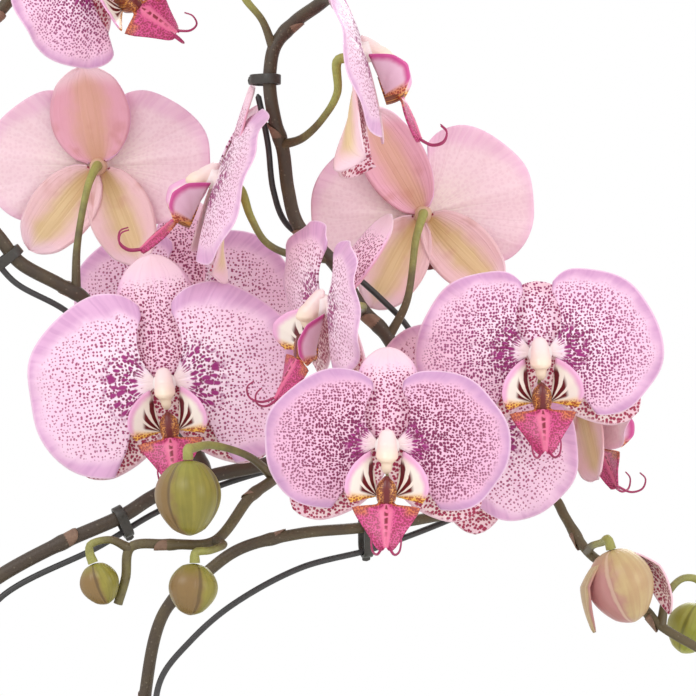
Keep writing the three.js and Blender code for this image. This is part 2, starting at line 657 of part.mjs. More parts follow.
function crown() {
  const spine = new THREE.LineCurve3(new THREE.Vector3(0, 0, CROWN_FOOT), new THREE.Vector3(0, 0, CROWN_TOP));
  const radiusAt = (share) => crownRadius(CROWN_FOOT + (CROWN_TOP - CROWN_FOOT) * share);
  const stock = taperedTube(spine, radiusAt, 10, 5);
  const sockets = [RIGHT_SPIKE, LEFT_SPIKE].map((points) => {
    const curve = curveThrough(points);
    const start = curve.getPointAt(0);
    const direction = curve.getTangentAt(0);
    const back = start.clone().addScaledVector(direction, -2 * GAP);
    const mouth = start.clone().addScaledVector(direction, SOCKET_DEPTH);
    return taperedTube(new THREE.LineCurve3(back, mouth), () => SOCKET_RADIUS, 8, 1);
  });
  return cut(stock, sockets);
}

function roots() {
  const collar = new THREE.CylinderGeometry(CROWN_RADIUS + 4, CROWN_RADIUS + 5, 5, 12);
  collar.rotateX(Math.PI / 2);
  collar.translate(0, 0, ROOT_LEVEL);
  const bore = new THREE.CylinderGeometry(CROWN_RADIUS + GAP, CROWN_RADIUS + GAP, 20, 12);
  bore.rotateX(Math.PI / 2);
  bore.translate(0, 0, ROOT_LEVEL);
  const strands = ROOTS.map((points) => {
    const curve = curveThrough(points);
    const steps = Math.round(curve.getLength() / 14);
    return taperedTube(curve, (share) => ROOT_RADIUS * (1 - 0.3 * share), 5, steps);
  });
  return cut(fuse([collar, ...strands]), [bore]);
}

// Pot and bark

function potRadius(z) {
  return POT_BASE_RADIUS + ((POT_TOP_RADIUS - POT_BASE_RADIUS) * z) / POT_HEIGHT;
}

function pot() {
  const innerRadius = (z) => potRadius(z) - POT_WALL;
  const profile = [
    [0, 0], [POT_BASE_RADIUS - 3, 0], [POT_BASE_RADIUS, 3], [POT_TOP_RADIUS - 1, POT_HEIGHT - 14],
    [POT_TOP_RADIUS + 2, POT_HEIGHT - 12], [POT_TOP_RADIUS + 2, POT_HEIGHT - 1], [POT_TOP_RADIUS, POT_HEIGHT],
    [innerRadius(POT_HEIGHT) + 1, POT_HEIGHT], [innerRadius(POT_HEIGHT), POT_HEIGHT - 2],
    [innerRadius(POT_WALL), POT_WALL], [0, POT_WALL],
  ];
  const bowl = new THREE.LatheGeometry(profile.map(([r, z]) => new THREE.Vector2(r, z)), 24);
  bowl.rotateX(Math.PI / 2);
  return geometryOf(solidOf(bowl));
}

function seededRandom(seed) {
  let state = seed;
  return () => {
    state = (state * 1664525 + 1013904223) % 4294967296;
    return state / 4294967296;
  };
}

function bark() {
  const floor = POT_WALL + GAP;
  const radiusAt = (z) => potRadius(z) - POT_WALL - 2 * GAP;
  const spine = new THREE.LineCurve3(new THREE.Vector3(0, 0, floor), new THREE.Vector3(0, 0, BARK_LEVEL));
  const heap = taperedTube(spine, (share) => radiusAt(floor + (BARK_LEVEL - floor) * share) * 0.975, 24, 1);
  const random = seededRandom(11);
  const chips = [];
  for (const [ring, count] of [[26, 5], [45, 8]]) {
    for (let k = 0; k < count; k += 1) {
      const angle = (2 * Math.PI * (k + 0.3 * random())) / count;
      const chip = new THREE.BoxGeometry(17 + 7 * random(), 11 + 4 * random(), 7);
      chip.rotateX(0.5 * (random() - 0.5));
      chip.rotateZ(Math.PI * random());
      chip.translate(ring * Math.cos(angle), ring * Math.sin(angle), BARK_LEVEL);
      chips.push(chip);
    }
  }
  const hole = (x, y, radius, depth) => {
    const drill = new THREE.CylinderGeometry(radius, radius, 80, 10);
    drill.rotateX(Math.PI / 2);
    drill.translate(x, y, depth + 40);
    return drill;
  };
  return cut(fuse([heap, ...chips]), [
    hole(0, 0, CROWN_RADIUS + 2 * GAP, CROWN_FOOT - GAP),
    hole(RIGHT_WIRE[0][0], RIGHT_WIRE[0][1], WIRE_RADIUS + GAP, STAKE_DEPTH - GAP),
    hole(LEFT_WIRE[0][0], LEFT_WIRE[0][1], WIRE_RADIUS + GAP, STAKE_DEPTH - GAP),
  ]);
}

const orchid = new THREE.Group();
for (const [letter, spec] of Object.entries(BLOOMS)) {
  orchid.add(bloom(letter, spec));
}
for (const [name, spec] of Object.entries(BUDS)) {
  orchid.add(bud(name, spec));
}
orchid.add(piece('spike_right', rightSpike(), 'stem'));
orchid.add(piece('spike_left', leftSpike(), 'stem'));
orchid.add(piece('stake_right', wire(RIGHT_WIRE), 'wire'));
orchid.add(piece('stake_left', wire(LEFT_WIRE), 'wire'));
orchid.add(piece('stake_branch', wire(BRANCH_WIRE), 'wire'));
orchid.add(piece('clip_right', clip(RIGHT_SPIKE, RIGHT_WIRE, 0.634), 'clip'));
orchid.add(piece('clip_left', clip(LEFT_SPIKE, LEFT_WIRE, 0.464), 'clip'));
orchid.add(piece('clip_upper', clip(LEFT_SPIKE, LEFT_WIRE, 0.88), 'clip'));
orchid.add(piece('clip_branch', clip(LEFT_BRANCH, BRANCH_WIRE, 0.45), 'clip'));
orchid.add(piece('clip_fork', clip(LEFT_BRANCH, BRANCH_WIRE, 0.05), 'clip'));
LEAVES.forEach((spec, index) => orchid.add(piece(`leaf_${index + 1}`, leaf(spec), 'leaf')));
orchid.add(piece('crown', crown(), 'crown'));
orchid.add(piece('aerial_roots', roots(), 'root'));
orchid.add(piece('bark', bark(), 'bark'));
orchid.add(piece('pot', pot(), 'pot'));

export default orchid;
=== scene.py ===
# %% [markdown]
# # A potted moth orchid
# Two flower spikes rise from one pot and carry twelve spotted, lilac-pink blooms. The solids come from
# CAD, which already says where everything is. This script dresses them: it swaps each faceted solid for
# a finer piece of the same form, and paints every surface with nodes. Lengths are written in
# millimetres, as in the CAD file, and turned into metres when a mesh is made.
# %% Load the packed model
import math

import bmesh
import bpy
import numpy as np
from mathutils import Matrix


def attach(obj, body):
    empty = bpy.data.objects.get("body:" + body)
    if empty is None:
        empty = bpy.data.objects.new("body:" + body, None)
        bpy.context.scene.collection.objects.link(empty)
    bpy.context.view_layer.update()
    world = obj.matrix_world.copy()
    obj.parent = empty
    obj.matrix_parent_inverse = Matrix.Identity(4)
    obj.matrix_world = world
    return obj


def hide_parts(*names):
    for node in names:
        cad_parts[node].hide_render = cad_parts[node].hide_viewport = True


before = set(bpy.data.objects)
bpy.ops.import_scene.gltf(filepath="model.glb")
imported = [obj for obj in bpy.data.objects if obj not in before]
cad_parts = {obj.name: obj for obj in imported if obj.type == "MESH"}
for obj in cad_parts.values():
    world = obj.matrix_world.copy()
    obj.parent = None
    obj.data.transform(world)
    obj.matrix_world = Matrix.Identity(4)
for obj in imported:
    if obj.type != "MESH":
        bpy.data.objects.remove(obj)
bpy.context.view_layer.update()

MM = 0.001
print("solids in the frame:", len(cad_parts))

# %% [markdown]
# ## The camera
# The blooms are seen straight on, from far away: they hardly grow towards the edges of the picture, so
# the lens is long. A wide lens close by would also fill the picture, but it would swell the nearest
# bloom. The camera stands 1.5 m in front, level, and its sensor and focal length give a picture 278 mm
# wide there.
# %% Camera
PICTURE_WIDTH = 0.2784
CAMERA_DISTANCE = 1.5
lens = bpy.data.cameras.new("portrait_lens")
lens.sensor_width = 36
lens.lens = lens.sensor_width * CAMERA_DISTANCE / PICTURE_WIDTH
lens.clip_end = 20
camera = bpy.data.objects.new("portrait_camera", lens)
camera.location = (0.1072, -CAMERA_DISTANCE, 0.4692)
camera.rotation_euler = (math.radians(90), 0, 0)
bpy.context.scene.collection.objects.link(camera)
bpy.context.scene.camera = camera
print("focal length in mm:", round(lens.lens))

# %% [markdown]
# ## Studio light and floor
# The flowers stand before plain white, in soft light from the front and above, with hardly a shadow.
# One bright sky of even white would do it, but then nothing shapes the petals. So the sky is weaker,
# and three large soft boxes add the shape: a big one above and left, a weaker one right, and a low one
# in front. The camera sees the sky brighter than the petals do: that is what the Light Path node is
# for.
# %% Light
bpy.context.scene.view_settings.view_transform = "Standard"
world = bpy.data.worlds.new("studio")
bpy.context.scene.world = world
world.use_nodes = True
sky = world.node_tree.nodes["Background"]
sky.inputs["Color"].default_value = (1, 1, 1, 1)
SKY_STRENGTH = 1.0
sight = world.node_tree.nodes.new("ShaderNodeLightPath")
brightness = world.node_tree.nodes.new("ShaderNodeMapRange")
brightness.inputs["To Min"].default_value = SKY_STRENGTH
brightness.inputs["To Max"].default_value = 1.0
world.node_tree.links.new(sight.outputs["Is Camera Ray"], brightness.inputs["Value"])
world.node_tree.links.new(brightness.outputs["Result"], sky.inputs["Strength"])


def soft_box(name, place, aim, size, power):
    lamp = bpy.data.lights.new(name, "AREA")
    lamp.shape = "DISK"
    lamp.size = size
    lamp.energy = power
    holder = bpy.data.objects.new(name, lamp)
    holder.location = place
    away = np.array(aim, float) - np.array(place, float)
    holder.rotation_euler = (
        math.atan2(math.hypot(away[0], away[1]), -away[2]), 0,
        math.atan2(away[1], away[0]) - math.pi / 2)
    bpy.context.scene.collection.objects.link(holder)


soft_box("key_light", (-1.1, -1.6, 1.9), (0.05, 0, 0.45), 1.3, 15)
soft_box("fill_light", (1.7, -1.3, 1.0), (0.05, 0, 0.45), 1.4, 9)
soft_box("back_light", (0.5, 1.9, 1.6), (0.05, 0, 0.4), 1.4, 17)

floor_mesh = bpy.data.meshes.new("studio_floor")
floor_mesh.from_pydata(
    [(-1.5, -1.5, 0), (1.5, -1.5, 0), (1.5, 1.5, 0), (-1.5, 1.5, 0)], [], [(0, 1, 2, 3)])
studio_floor = bpy.data.objects.new("studio_floor", floor_mesh)
bpy.context.scene.collection.objects.link(studio_floor)

# %% [markdown]
# ## A short hand for shader nodes
# A material is a small tree of nodes. Making each node and link by hand takes three lines apiece, so
# two small classes write them. A Value is the output of a node, and plain arithmetic on it adds further
# nodes. Paint makes nodes: a value that is given as a Value is linked, and any other is typed into the
# node. Colours are read from the photograph as 0 to 255 values and must be made linear, because nodes
# mix light.
# %% Colours and node outputs
def shade(colour):
    parts = [c / 255 for c in colour]
    return tuple(c / 12.92 if c <= 0.04045 else ((c + 0.055) / 1.055) ** 2.4 for c in parts) + (1.0,)


class Value:
    """The output of a shader node"""

    def __init__(self, paint, socket):
        self.paint, self.socket = paint, socket

    def __add__(self, other):
        return self.paint.math("ADD", self, other)

    def __sub__(self, other):
        return self.paint.math("SUBTRACT", self, other)

    def __rsub__(self, other):
        return self.paint.math("SUBTRACT", other, self)

    def __mul__(self, other):
        return self.paint.math("MULTIPLY", self, other)

    def __abs__(self):
        return self.paint.math("ABSOLUTE", self)

    def rise(self, start, end, low=0.0, high=1.0):
        """Goes smoothly from low to high while the value goes from start to end"""
        values = {"Value": self, "From Min": start, "From Max": end, "To Min": low, "To Max": high}
        return self.paint.node("ShaderNodeMapRange", values, "Result", interpolation_type="SMOOTHSTEP")

    def parts(self):
        split = self.paint.node("ShaderNodeSeparateXYZ", {"Vector": self}).socket.node
        return [Value(self.paint, output) for output in split.outputs]


print("a mauve from the photograph, made linear:", [round(c, 3) for c in shade((205, 120, 190))])


# %% Node writing
class Paint:
    """Writes the nodes of one tree"""

    def __init__(self, tree):
        self.tree = tree

    def node(self, kind, values, output=0, **settings):
        made = self.tree.nodes.new(kind)
        for key, value in settings.items():
            setattr(made, key, value)
        for key, value in values.items():
            self.put(value, made.inputs[key])
        return Value(self, made.outputs[output])

    def put(self, value, socket):
        if isinstance(value, Value):
            self.tree.links.new(value.socket, socket)
        else:
            socket.default_value = value

    def math(self, operation, first, second=0.0):
        return self.node("ShaderNodeMath", {0: first, 1: second}, operation=operation)

    def mix(self, share, low, high):
        low, high = (c if isinstance(c, Value) else shade(c) for c in (low, high))
        return self.node("ShaderNodeMix", {0: share, 6: low, 7: high}, 2, data_type="RGBA")

    def point(self, x, y):
        return self.node("ShaderNodeCombineXYZ", {"X": x, "Y": y})

    def noise(self, place, scale, detail=2.0):
        return self.node(
            "ShaderNodeTexNoise", {"Vector": place, "Scale": scale, "Detail": detail}, "Fac")

    def use(self, group, *values):
        """Adds a shared pattern, with values in the order of its inputs"""
        return self.node("ShaderNodeGroup", dict(enumerate(values)), node_tree=group)


print("Paint writes:", [name for name in vars(Paint) if not name.startswith("_")])

# %% [markdown]
# ## Patterns that several finishes share
# Spots, veins and a fine grain turn up on petals, sepals, lip, buds, stems and leaves. Each is a node
# group with named inputs, built once. Spots come from a Voronoi texture: the distance to the nearest of
# its scattered points, cut off at a radius. Veins are a noise that is stretched so far along the
# surface that only lines are left. An image of a petal would also do, but it couldn't change from bloom
# to bloom.
# %% Shared patterns
def pattern(name, labels, write):
    """Makes a node group: write gets its inputs as Values and gives back the result"""
    group = bpy.data.node_groups.new(name, "ShaderNodeTree")
    for label in labels:
        kind = "NodeSocketVector" if label == "Place" else "NodeSocketFloat"
        group.interface.new_socket(label, in_out="INPUT", socket_type=kind)
    group.interface.new_socket("Amount", in_out="OUTPUT", socket_type="NodeSocketFloat")
    paint = Paint(group)
    given = [Value(paint, socket) for socket in group.nodes.new("NodeGroupInput").outputs]
    result = write(paint, *given[:len(labels)])
    group.links.new(result.socket, group.nodes.new("NodeGroupOutput").inputs[0])
    return group


def write_spots(paint, place, density, size, scatter):
    drift = paint.node("ShaderNodeTexNoise", {"Vector": place, "Scale": 1.3, "Detail": 1.0}, "Color")
    moved = paint.node(
        "ShaderNodeVectorMath", {0: drift, 1: (0.24, 0.24, 0.0), 2: place}, operation="MULTIPLY_ADD")
    values = {"Vector": moved, "Scale": density, "Randomness": scatter}
    near = paint.node("ShaderNodeTexVoronoi", values, "Distance", voronoi_dimensions="2D", feature="F1")
    luck = Value(paint, near.socket.node.outputs["Color"]).parts()[0]
    radius = size * luck.rise(0.0, 1.0, 0.7, 1.2)
    return 1.0 - near.rise(radius * 0.75, radius * 1.35)


def write_veins(paint, along, across, count, wander):
    drift = paint.noise(paint.point(along * 3.0, across * 4.0), 1.0)
    line = across * count + drift * wander
    return paint.noise(paint.point(along * 0.8, line), 1.0, 1.0).rise(0.42, 0.62)


def write_grain(paint, place, scale, contrast):
    return (paint.noise(place, scale, 3.0) - 0.5) * contrast + 0.5


SPOTS = pattern("spots", ["Place", "Density", "Size", "Scatter"], write_spots)
VEINS = pattern("veins", ["Along", "Across", "Count", "Wander"], write_veins)
GRAIN = pattern("grain", ["Place", "Scale", "Contrast"], write_grain)
print("shared patterns:", SPOTS.name, VEINS.name, GRAIN.name)

# %% [markdown]
# A finish is laid on in coats, each where a pattern says, and ends in one Principled shader. What is
# the same all over, such as roughness, is typed into the shader's own sockets.
# %% Finishes
class Finish(Paint):
    """A material, painted coat by coat"""

    def __init__(self, name):
        self.material = bpy.data.materials.new(name)
        self.material.use_nodes = True
        super().__init__(self.material.node_tree)

    def map_of(self, name):
        return self.node("ShaderNodeUVMap", {}, "UV", uv_map=name)

    def share(self):
        """How far along and how far across its piece a point lies"""
        return self.map_of("share").parts()[:2]

    def place(self):
        return self.node("ShaderNodeTexCoord", {}, "Object")

    def youth(self):
        """How near its growing end a point of a stem or root lies"""
        return self.node("ShaderNodeAttribute", {}, "Fac", attribute_name="youth")

    def grain(self, scale, contrast):
        return self.use(GRAIN, self.place(), scale, contrast)

    def base(self, share, low, high):
        self.colour = self.mix(share, low, high)

    def coat(self, share, colour):
        self.colour = self.mix(share, self.colour, colour)

    def end(self, relief, depth, roughness=0.5, **fixed):
        shader = self.tree.nodes["Principled BSDF"]
        self.put(self.colour, shader.inputs["Base Color"])
        self.put(roughness, shader.inputs["Roughness"])
        for key, value in fixed.items():
            shader.inputs[key.replace("_", " ")].default_value = value
        if relief is not None:
            bump = self.node(
                "ShaderNodeBump", {"Height": relief, "Strength": 0.6, "Distance": depth * MM})
            self.put(bump, shader.inputs["Normal"])
        return self.material


def grainy_finish(name, scale, contrast, low, high, depth, roughness):
    """Two shades in a fine grain; a pair of roughnesses follows the grain too"""
    paint = Finish(name)
    grain = paint.grain(scale, contrast)
    paint.base(grain, low, high)
    rough = grain.rise(0.2, 0.8, *roughness) if isinstance(roughness, tuple) else roughness
    return paint.end(grain if depth else None, depth, rough)


floor_mesh.materials.append(
    grainy_finish("studio_paper", 3.0, 0.5, (226, 226, 224), (238, 238, 237), 0, 0.8))
print("floor finish:", floor_mesh.materials[0].name)

# %% [markdown]
# ## Skins
# Petals, sepals, leaves and lobes are all thin blades: a surface given by a formula, with a front, a
# back and a rim. A flat sheet with a Solidify modifier would give the same, but its two sides would
# share one finish. Here the blade is made as a flattened tube, so front and back get their own finishes
# and the rim stays closed. Each point carries two maps: "share" says how far along and across the blade
# it is, for veins and margins, and "flat" gives its place in centimetres, for spots that keep their
# size.
# %% Skins
class Skin:
    """Gathers the faces of one piece, in millimetres"""

    def __init__(self):
        self.points, self.faces, self.finishes, self.shares, self.flats = [], [], [], [], []
        self.count = 0

    def add(self, points, faces, finishes, shares, flats):
        self.points.append(np.asarray(points, float).reshape(-1, 3))
        self.shares.append(np.asarray(shares, float).reshape(-1, 2))
        self.flats.append(np.asarray(flats, float).reshape(-1, 2))
        self.faces.append(np.asarray(faces) + self.count)
        self.finishes.append(np.broadcast_to(finishes, len(faces)))
        self.count += len(self.points[-1])

    def piece(self, name, materials, nodes, slot, turn=None, at=(0, 0, 0)):
        points = np.concatenate(self.points)
        if turn is not None:
            points = points @ turn.T
        points = points + np.array(at, float)
        faces = np.concatenate(self.faces)
        mesh = plain_mesh(name, points, faces.tolist())
        mesh.polygons.foreach_set("material_index", np.concatenate(self.finishes).astype(np.int32))
        mesh.polygons.foreach_set("use_smooth", np.ones(len(faces), bool))
        for label, values in (("share", self.shares), ("flat", self.flats)):
            layer = mesh.uv_layers.new(name=label)
            layer.data.foreach_set(
                "uv", np.concatenate(values)[faces.ravel()].astype(np.float32).ravel())
        weld(mesh)
        for material in materials:
            mesh.materials.append(material)
        return settle(name, mesh, nodes)


def plain_mesh(name, points, faces=(), edges=()):
    """A mesh in metres, from points in millimetres"""
    mesh = bpy.data.meshes.new(name)
    mesh.from_pydata((np.reshape(points, (-1, 3)) * MM).tolist(), edges, faces)
    return mesh


def weld(mesh):
    """Joins points that lie in one place, such as those of seams and poles"""
    form = bmesh.new()
    form.from_mesh(mesh)
    bmesh.ops.remove_doubles(form, verts=form.verts, dist=0.001 * MM)
    form.to_mesh(mesh)
    form.free()


def settle(name, mesh, nodes):
    piece = bpy.data.objects.new(name, mesh)
    bpy.context.scene.collection.objects.link(piece)
    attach(piece, "root")
    if nodes:
        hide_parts(*nodes)
    return piece


print("a skin can hold:", [name for name in vars(Skin()) if name != "count"])


# %% Blades
def ring_faces(rows, columns, closed=True):
    """Quads between rows of points; the normal is the way along times the way round"""
    i, k = np.meshgrid(
        np.arange(rows - 1), np.arange(columns if closed else columns - 1), indexing="ij")
    after = (k + 1) % columns
    quads = [i * columns + k, (i + 1) * columns + k, (i + 1) * columns + after, i * columns + after]
    return np.stack([q.ravel() for q in quads], axis=1)


def in_centimetres(place):
    return place[..., :2] / 10


def blade(skin, surface, us, vs, thickness, front, back, flat=in_centimetres, toward=(0, 0, 1)):
    """Gives a surface thickness; it thins to a quarter towards its tip"""
    u, v = np.meshgrid(us, vs, indexing="ij")
    step = 1e-3
    middle = surface(u, v)
    along = surface(np.minimum(u + step, us[-1]), v) - surface(np.maximum(u - step, us[0]), v)
    across = surface(u, v + step) - surface(u, v - step)
    normal = np.cross(along, across)
    normal /= np.linalg.norm(normal, axis=-1, keepdims=True) + 1e-12
    side = 1 if (normal @ np.array(toward, float)).sum() > 0 else -1
    edge = np.minimum(1, np.minimum(us[-1] - u, 0.06) / 0.06 + 0.25)
    half = side * normal * (thickness * edge / 2)[..., None]
    rows, columns = u.shape
    skin_points = np.concatenate([middle + half, (middle - half)[:, ::-1]], axis=1)
    share = np.stack([u, (v - vs[0]) / (vs[-1] - vs[0])], axis=-1)
    shares = np.concatenate([share, share[:, ::-1]], axis=1)
    place = flat(middle)
    flats = np.concatenate([place, place[:, ::-1]], axis=1)
    tube = ring_faces(rows, 2 * columns)
    k = np.tile(np.arange(2 * columns), rows - 1)
    kinds = np.where(k < columns, front, back)
    j = np.arange(columns - 1)
    last = (rows - 1) * 2 * columns
    foot = np.stack([j, j + 1, 2 * columns - 2 - j, 2 * columns - 1 - j], axis=1)
    tip = np.stack([j + 1, j, 2 * columns - 1 - j, 2 * columns - 2 - j], axis=1) + last
    faces = np.concatenate([tube, foot, tip])
    kinds = np.concatenate([kinds, np.full(2 * len(j), front)])
    if side < 0:
        faces = faces[:, ::-1]
    skin.add(skin_points, faces, kinds, shares, flats)


print("faces on one side of a petal:", len(ring_faces(34, 52, closed=False)))


# %% Solids of rings
def solid_of_rings(skin, rings, finish):
    """Closes a stack of rings with a point at each end, with its faces outwards"""
    rings = np.asarray(rings, float)
    first, last = rings[0].mean(axis=0), rings[-1].mean(axis=0)
    rings = np.concatenate([rings, rings[:, :1]], axis=1)
    count = rings.shape[1]
    stack = np.concatenate([np.tile(first, (1, count, 1)), rings, np.tile(last, (1, count, 1))])
    rows = len(stack)
    u, v = np.meshgrid(np.linspace(0, 1, rows), np.linspace(0, 1, count), indexing="ij")
    share = np.stack([u, v], axis=-1)
    faces = ring_faces(rows, count, closed=False)
    corner = stack.reshape(-1, 3)
    a, b, c = (corner[faces[:, q]] for q in (0, 1, 2))
    if (np.cross(b - a, c - a) * (a - stack.mean(axis=(0, 1)))).sum() < 0:
        faces = faces[:, ::-1]
    skin.add(stack, faces, finish, share, in_centimetres(stack))


def full_turn(count):
    return np.linspace(0, 2 * math.pi, count, endpoint=False)


def ring(turn, radius, z):
    return np.stack([radius * np.cos(turn), radius * np.sin(turn), np.full(len(turn), z)], axis=-1)


def squarish(wave, power):
    """Squares off the ring that a cosine and a sine draw"""
    return np.sign(wave) * np.abs(wave) ** power


print("height of a ring:", ring(full_turn(12), 1.0, 5.0)[0, 2])

# %% [markdown]
# ## The face of a petal
# Seen close, a petal is pale lilac inside and mauve round its edge. Rows of small dark spots run out
# from its claw and stop before the plain margin; near the claw they swell to magenta blotches round a
# white throat. Everything that depends on the way out from the claw reads the "share" map, and the
# spots read "flat", so that they keep their 2 mm spacing. Radial texture coordinates alone would make
# the outer spots too big.
# %% Petal face
def petal_face_finish(
        name, widest, dot_shade, dot_size, density, ring_end, near_ground, far_ground, edge_shade):
    paint = Finish(name)
    flat = paint.map_of("flat")
    out, turn = paint.share()
    drift = paint.noise(flat, 1.3) - 0.5
    top = turn.rise(0.4, 0.85) + turn.rise(0.22, 0.04, 0.0, 0.7)
    beyond = out + drift * 0.14 - (1.0 - (top * widest + 0.07))
    veins = paint.use(VEINS, out, turn, 46.0, 1.2)
    edge = paint.mix(veins * 0.35, edge_shade, (186, 132, 178))
    paint.base(out.rise(0.25, 0.8), near_ground, far_ground)
    paint.coat(veins * 0.3, (232, 184, 216))
    paint.coat(beyond.rise(-0.06, 0.07), edge)
    paint.coat(out.rise(0.975, 1.0), (242, 204, 228))
    near = out.rise(0.55, 0.2)
    size = (near * 0.4 + out.rise(1.0, 0.6, 0.75, 1.0)) * dot_size
    dots = paint.use(SPOTS, flat, density, size, 0.68) * beyond.rise(0.01, -0.07) * out.rise(0.14, 0.2)
    paint.coat(dots * out.rise(1.0, 0.5, 0.76, 1.0), paint.mix(near, dot_shade, (118, 6, 76)))
    blotches = paint.use(SPOTS, paint.point(out * 5.2, turn * 8.0), 2.3, 0.36, 0.7)
    inside = out.rise(ring_end + 0.06, ring_end - 0.04) * out.rise(0.1, 0.13) * turn.rise(0.98, 0.7)
    paint.coat(blotches * inside, (150, 22, 112))
    paint.coat((out + (veins - 0.5) * 0.06).rise(0.15, 0.07), (247, 224, 224))
    return paint.end(veins, 0.12, 0.48, Sheen_Weight=0.12)


PETAL_FACE = petal_face_finish(
    "petal_face", 0.06, (138, 20, 96), 0.35, 8.4, 0.34, (246, 222, 236), (242, 198, 222),
    (206, 152, 192))
PETAL_FACE_PALE = petal_face_finish(
    "petal_face_pale", 0.16, (150, 40, 98), 0.26, 6.6, 0.4, (248, 228, 240), (244, 206, 228),
    (218, 166, 204))
PETAL_FACE_DEEP = petal_face_finish(
    "petal_face_deep", 0.06, (122, 8, 72), 0.38, 8.8, 0.28, (236, 194, 214), (230, 176, 204),
    (198, 148, 188))
print("finishes:", PETAL_FACE.name, PETAL_FACE_PALE.name, PETAL_FACE_DEEP.name)

# %% [markdown]
# ## The back of a petal
# From behind the petal is greyish pink, the spots of the face show through faintly, and the margin
# stays mauve.
# %% Petal back
def petal_back_finish():
    paint = Finish("petal_back")
    flat = paint.map_of("flat")
    out, turn = paint.share()
    cloud = paint.noise(flat, 1.2)
    veins = paint.use(VEINS, out, turn, 40.0, 1.4)
    margin = (out - (0.94 - turn.rise(0.35, 0.8) * 0.16) + cloud * 0.1).rise(-0.02, 0.14)
    paint.base(out.rise(0.05, 0.7), (246, 226, 218), (247, 216, 224))
    paint.coat(veins * 0.25, (238, 198, 208))
    paint.coat(paint.use(SPOTS, flat, 5.0, 0.32, 0.8) * 0.16, (216, 160, 182))
    paint.coat(margin, paint.mix(veins, (240, 196, 216), (236, 188, 212)))
    return paint.end(veins, 0.12, Sheen_Weight=0.12)


PETAL_BACK = petal_back_finish()
print("finish:", PETAL_BACK.name)

# %% [markdown]
# ## The sepals
# Three sepals lie behind the petals. The top one has a plain cream-pink tip, mauve edges and crimson
# dots, and the two lower ones are crowded with crimson blotches. From behind they are tan or olive,
# with fine veins from foot to tip. One function with its own colours serves each, because the layout is
# the same.
# %% Sepal faces
def sepal_face_finish(name, ground, edge_shade, dot_shade, dots_end, size, density, shrink):
    paint = Finish(name)
    flat = paint.map_of("flat")
    out, turn = paint.share()
    sideways = abs(turn - 0.5) * 2.0
    cloud = paint.noise(flat, 1.5)
    veins = paint.use(VEINS, out, turn, 16.0, 0.6)
    paint.base(veins * 0.3, ground, edge_shade)
    paint.coat((sideways + cloud * 0.3).rise(0.95, 1.2), edge_shade)
    paint.coat((out + cloud * 0.1).rise(0.8, 1.0), (239, 199, 211))
    dots = paint.use(SPOTS, flat, density, out.rise(0.9, 0.35, shrink, 1.0) * size, 0.8)
    until = (out + cloud * 0.14).rise(dots_end + 0.1, dots_end - 0.02)
    paint.coat(dots * until * sideways.rise(0.99, 0.86), dot_shade)
    return paint.end(veins, 0.12, Sheen_Weight=0.1)


def sepal_back_finish(name, root_shade, middle_shade, edge_shade):
    paint = Finish(name)
    out, turn = paint.share()
    sideways = abs(turn - 0.5) * 2.0
    cloud = paint.noise(paint.map_of("flat"), 1.1)
    veins = paint.use(VEINS, out, turn, 22.0, 0.5)
    paint.base(out.rise(0.0, 0.5), root_shade, middle_shade)
    paint.coat(veins * 0.3, root_shade)
    paint.coat((sideways + cloud * 0.5).rise(0.35, 1.05), edge_shade)
    paint.coat((out + sideways * 0.12).rise(0.8, 1.02), (243, 206, 216))
    paint.coat(cloud.rise(0.5, 0.72) * out.rise(0.65, 0.15) * 0.5, (192, 122, 98))
    return paint.end(veins, 0.15)


DORSAL_FACE = sepal_face_finish(
    "dorsal_sepal_face", (244, 204, 222), (232, 176, 212), (136, 12, 80), 0.8, 0.36, 8.2, 0.65)
DORSAL_FACE_DENSE = sepal_face_finish(
    "dorsal_sepal_face_dense", (250, 222, 238), (236, 186, 218), (142, 10, 88), 1.2, 0.36, 8.2, 0.9)
LATERAL_FACE = sepal_face_finish(
    "lateral_sepal_face", (248, 224, 222), (238, 196, 210), (160, 24, 70), 1.1, 0.42, 7.2, 0.95)
DORSAL_BACK = sepal_back_finish(
    "dorsal_sepal_back", (208, 156, 130), (220, 166, 150), (228, 164, 182))
LATERAL_BACK = sepal_back_finish(
    "lateral_sepal_back", (196, 156, 104), (228, 198, 150), (240, 196, 200))
print("finishes:", [
    m.name for m in (DORSAL_FACE, DORSAL_FACE_DENSE, LATERAL_FACE, DORSAL_BACK, LATERAL_BACK)])

# %% [markdown]
# ## Column and lip
# The column in the middle is ivory. The lip is the showy part: its side lobes are cream inside, crossed
# by dark crimson stripes that run up from the callus, with a magenta outer edge and an orange, speckled
# lower one. The middle lobe is speckled orange-brown at its corners and magenta beyond, with a dashed
# line along its ridge.
# %% Column finish
def column_finish():
    paint = Finish("column_ivory")
    grain = paint.grain(900.0, 0.8)
    along = paint.share()[0]
    paint.base(along.rise(0.2, 0.75), (244, 216, 214), (244, 222, 198))
    paint.coat(along.rise(0.3, 0.05) * 0.5, (246, 222, 226))
    paint.coat(grain * 0.12, (232, 216, 186))
    return paint.end(grain, 0.08, 0.35, Coat_Weight=0.15)


COLUMN_FINISH = column_finish()
print("finish:", COLUMN_FINISH.name)


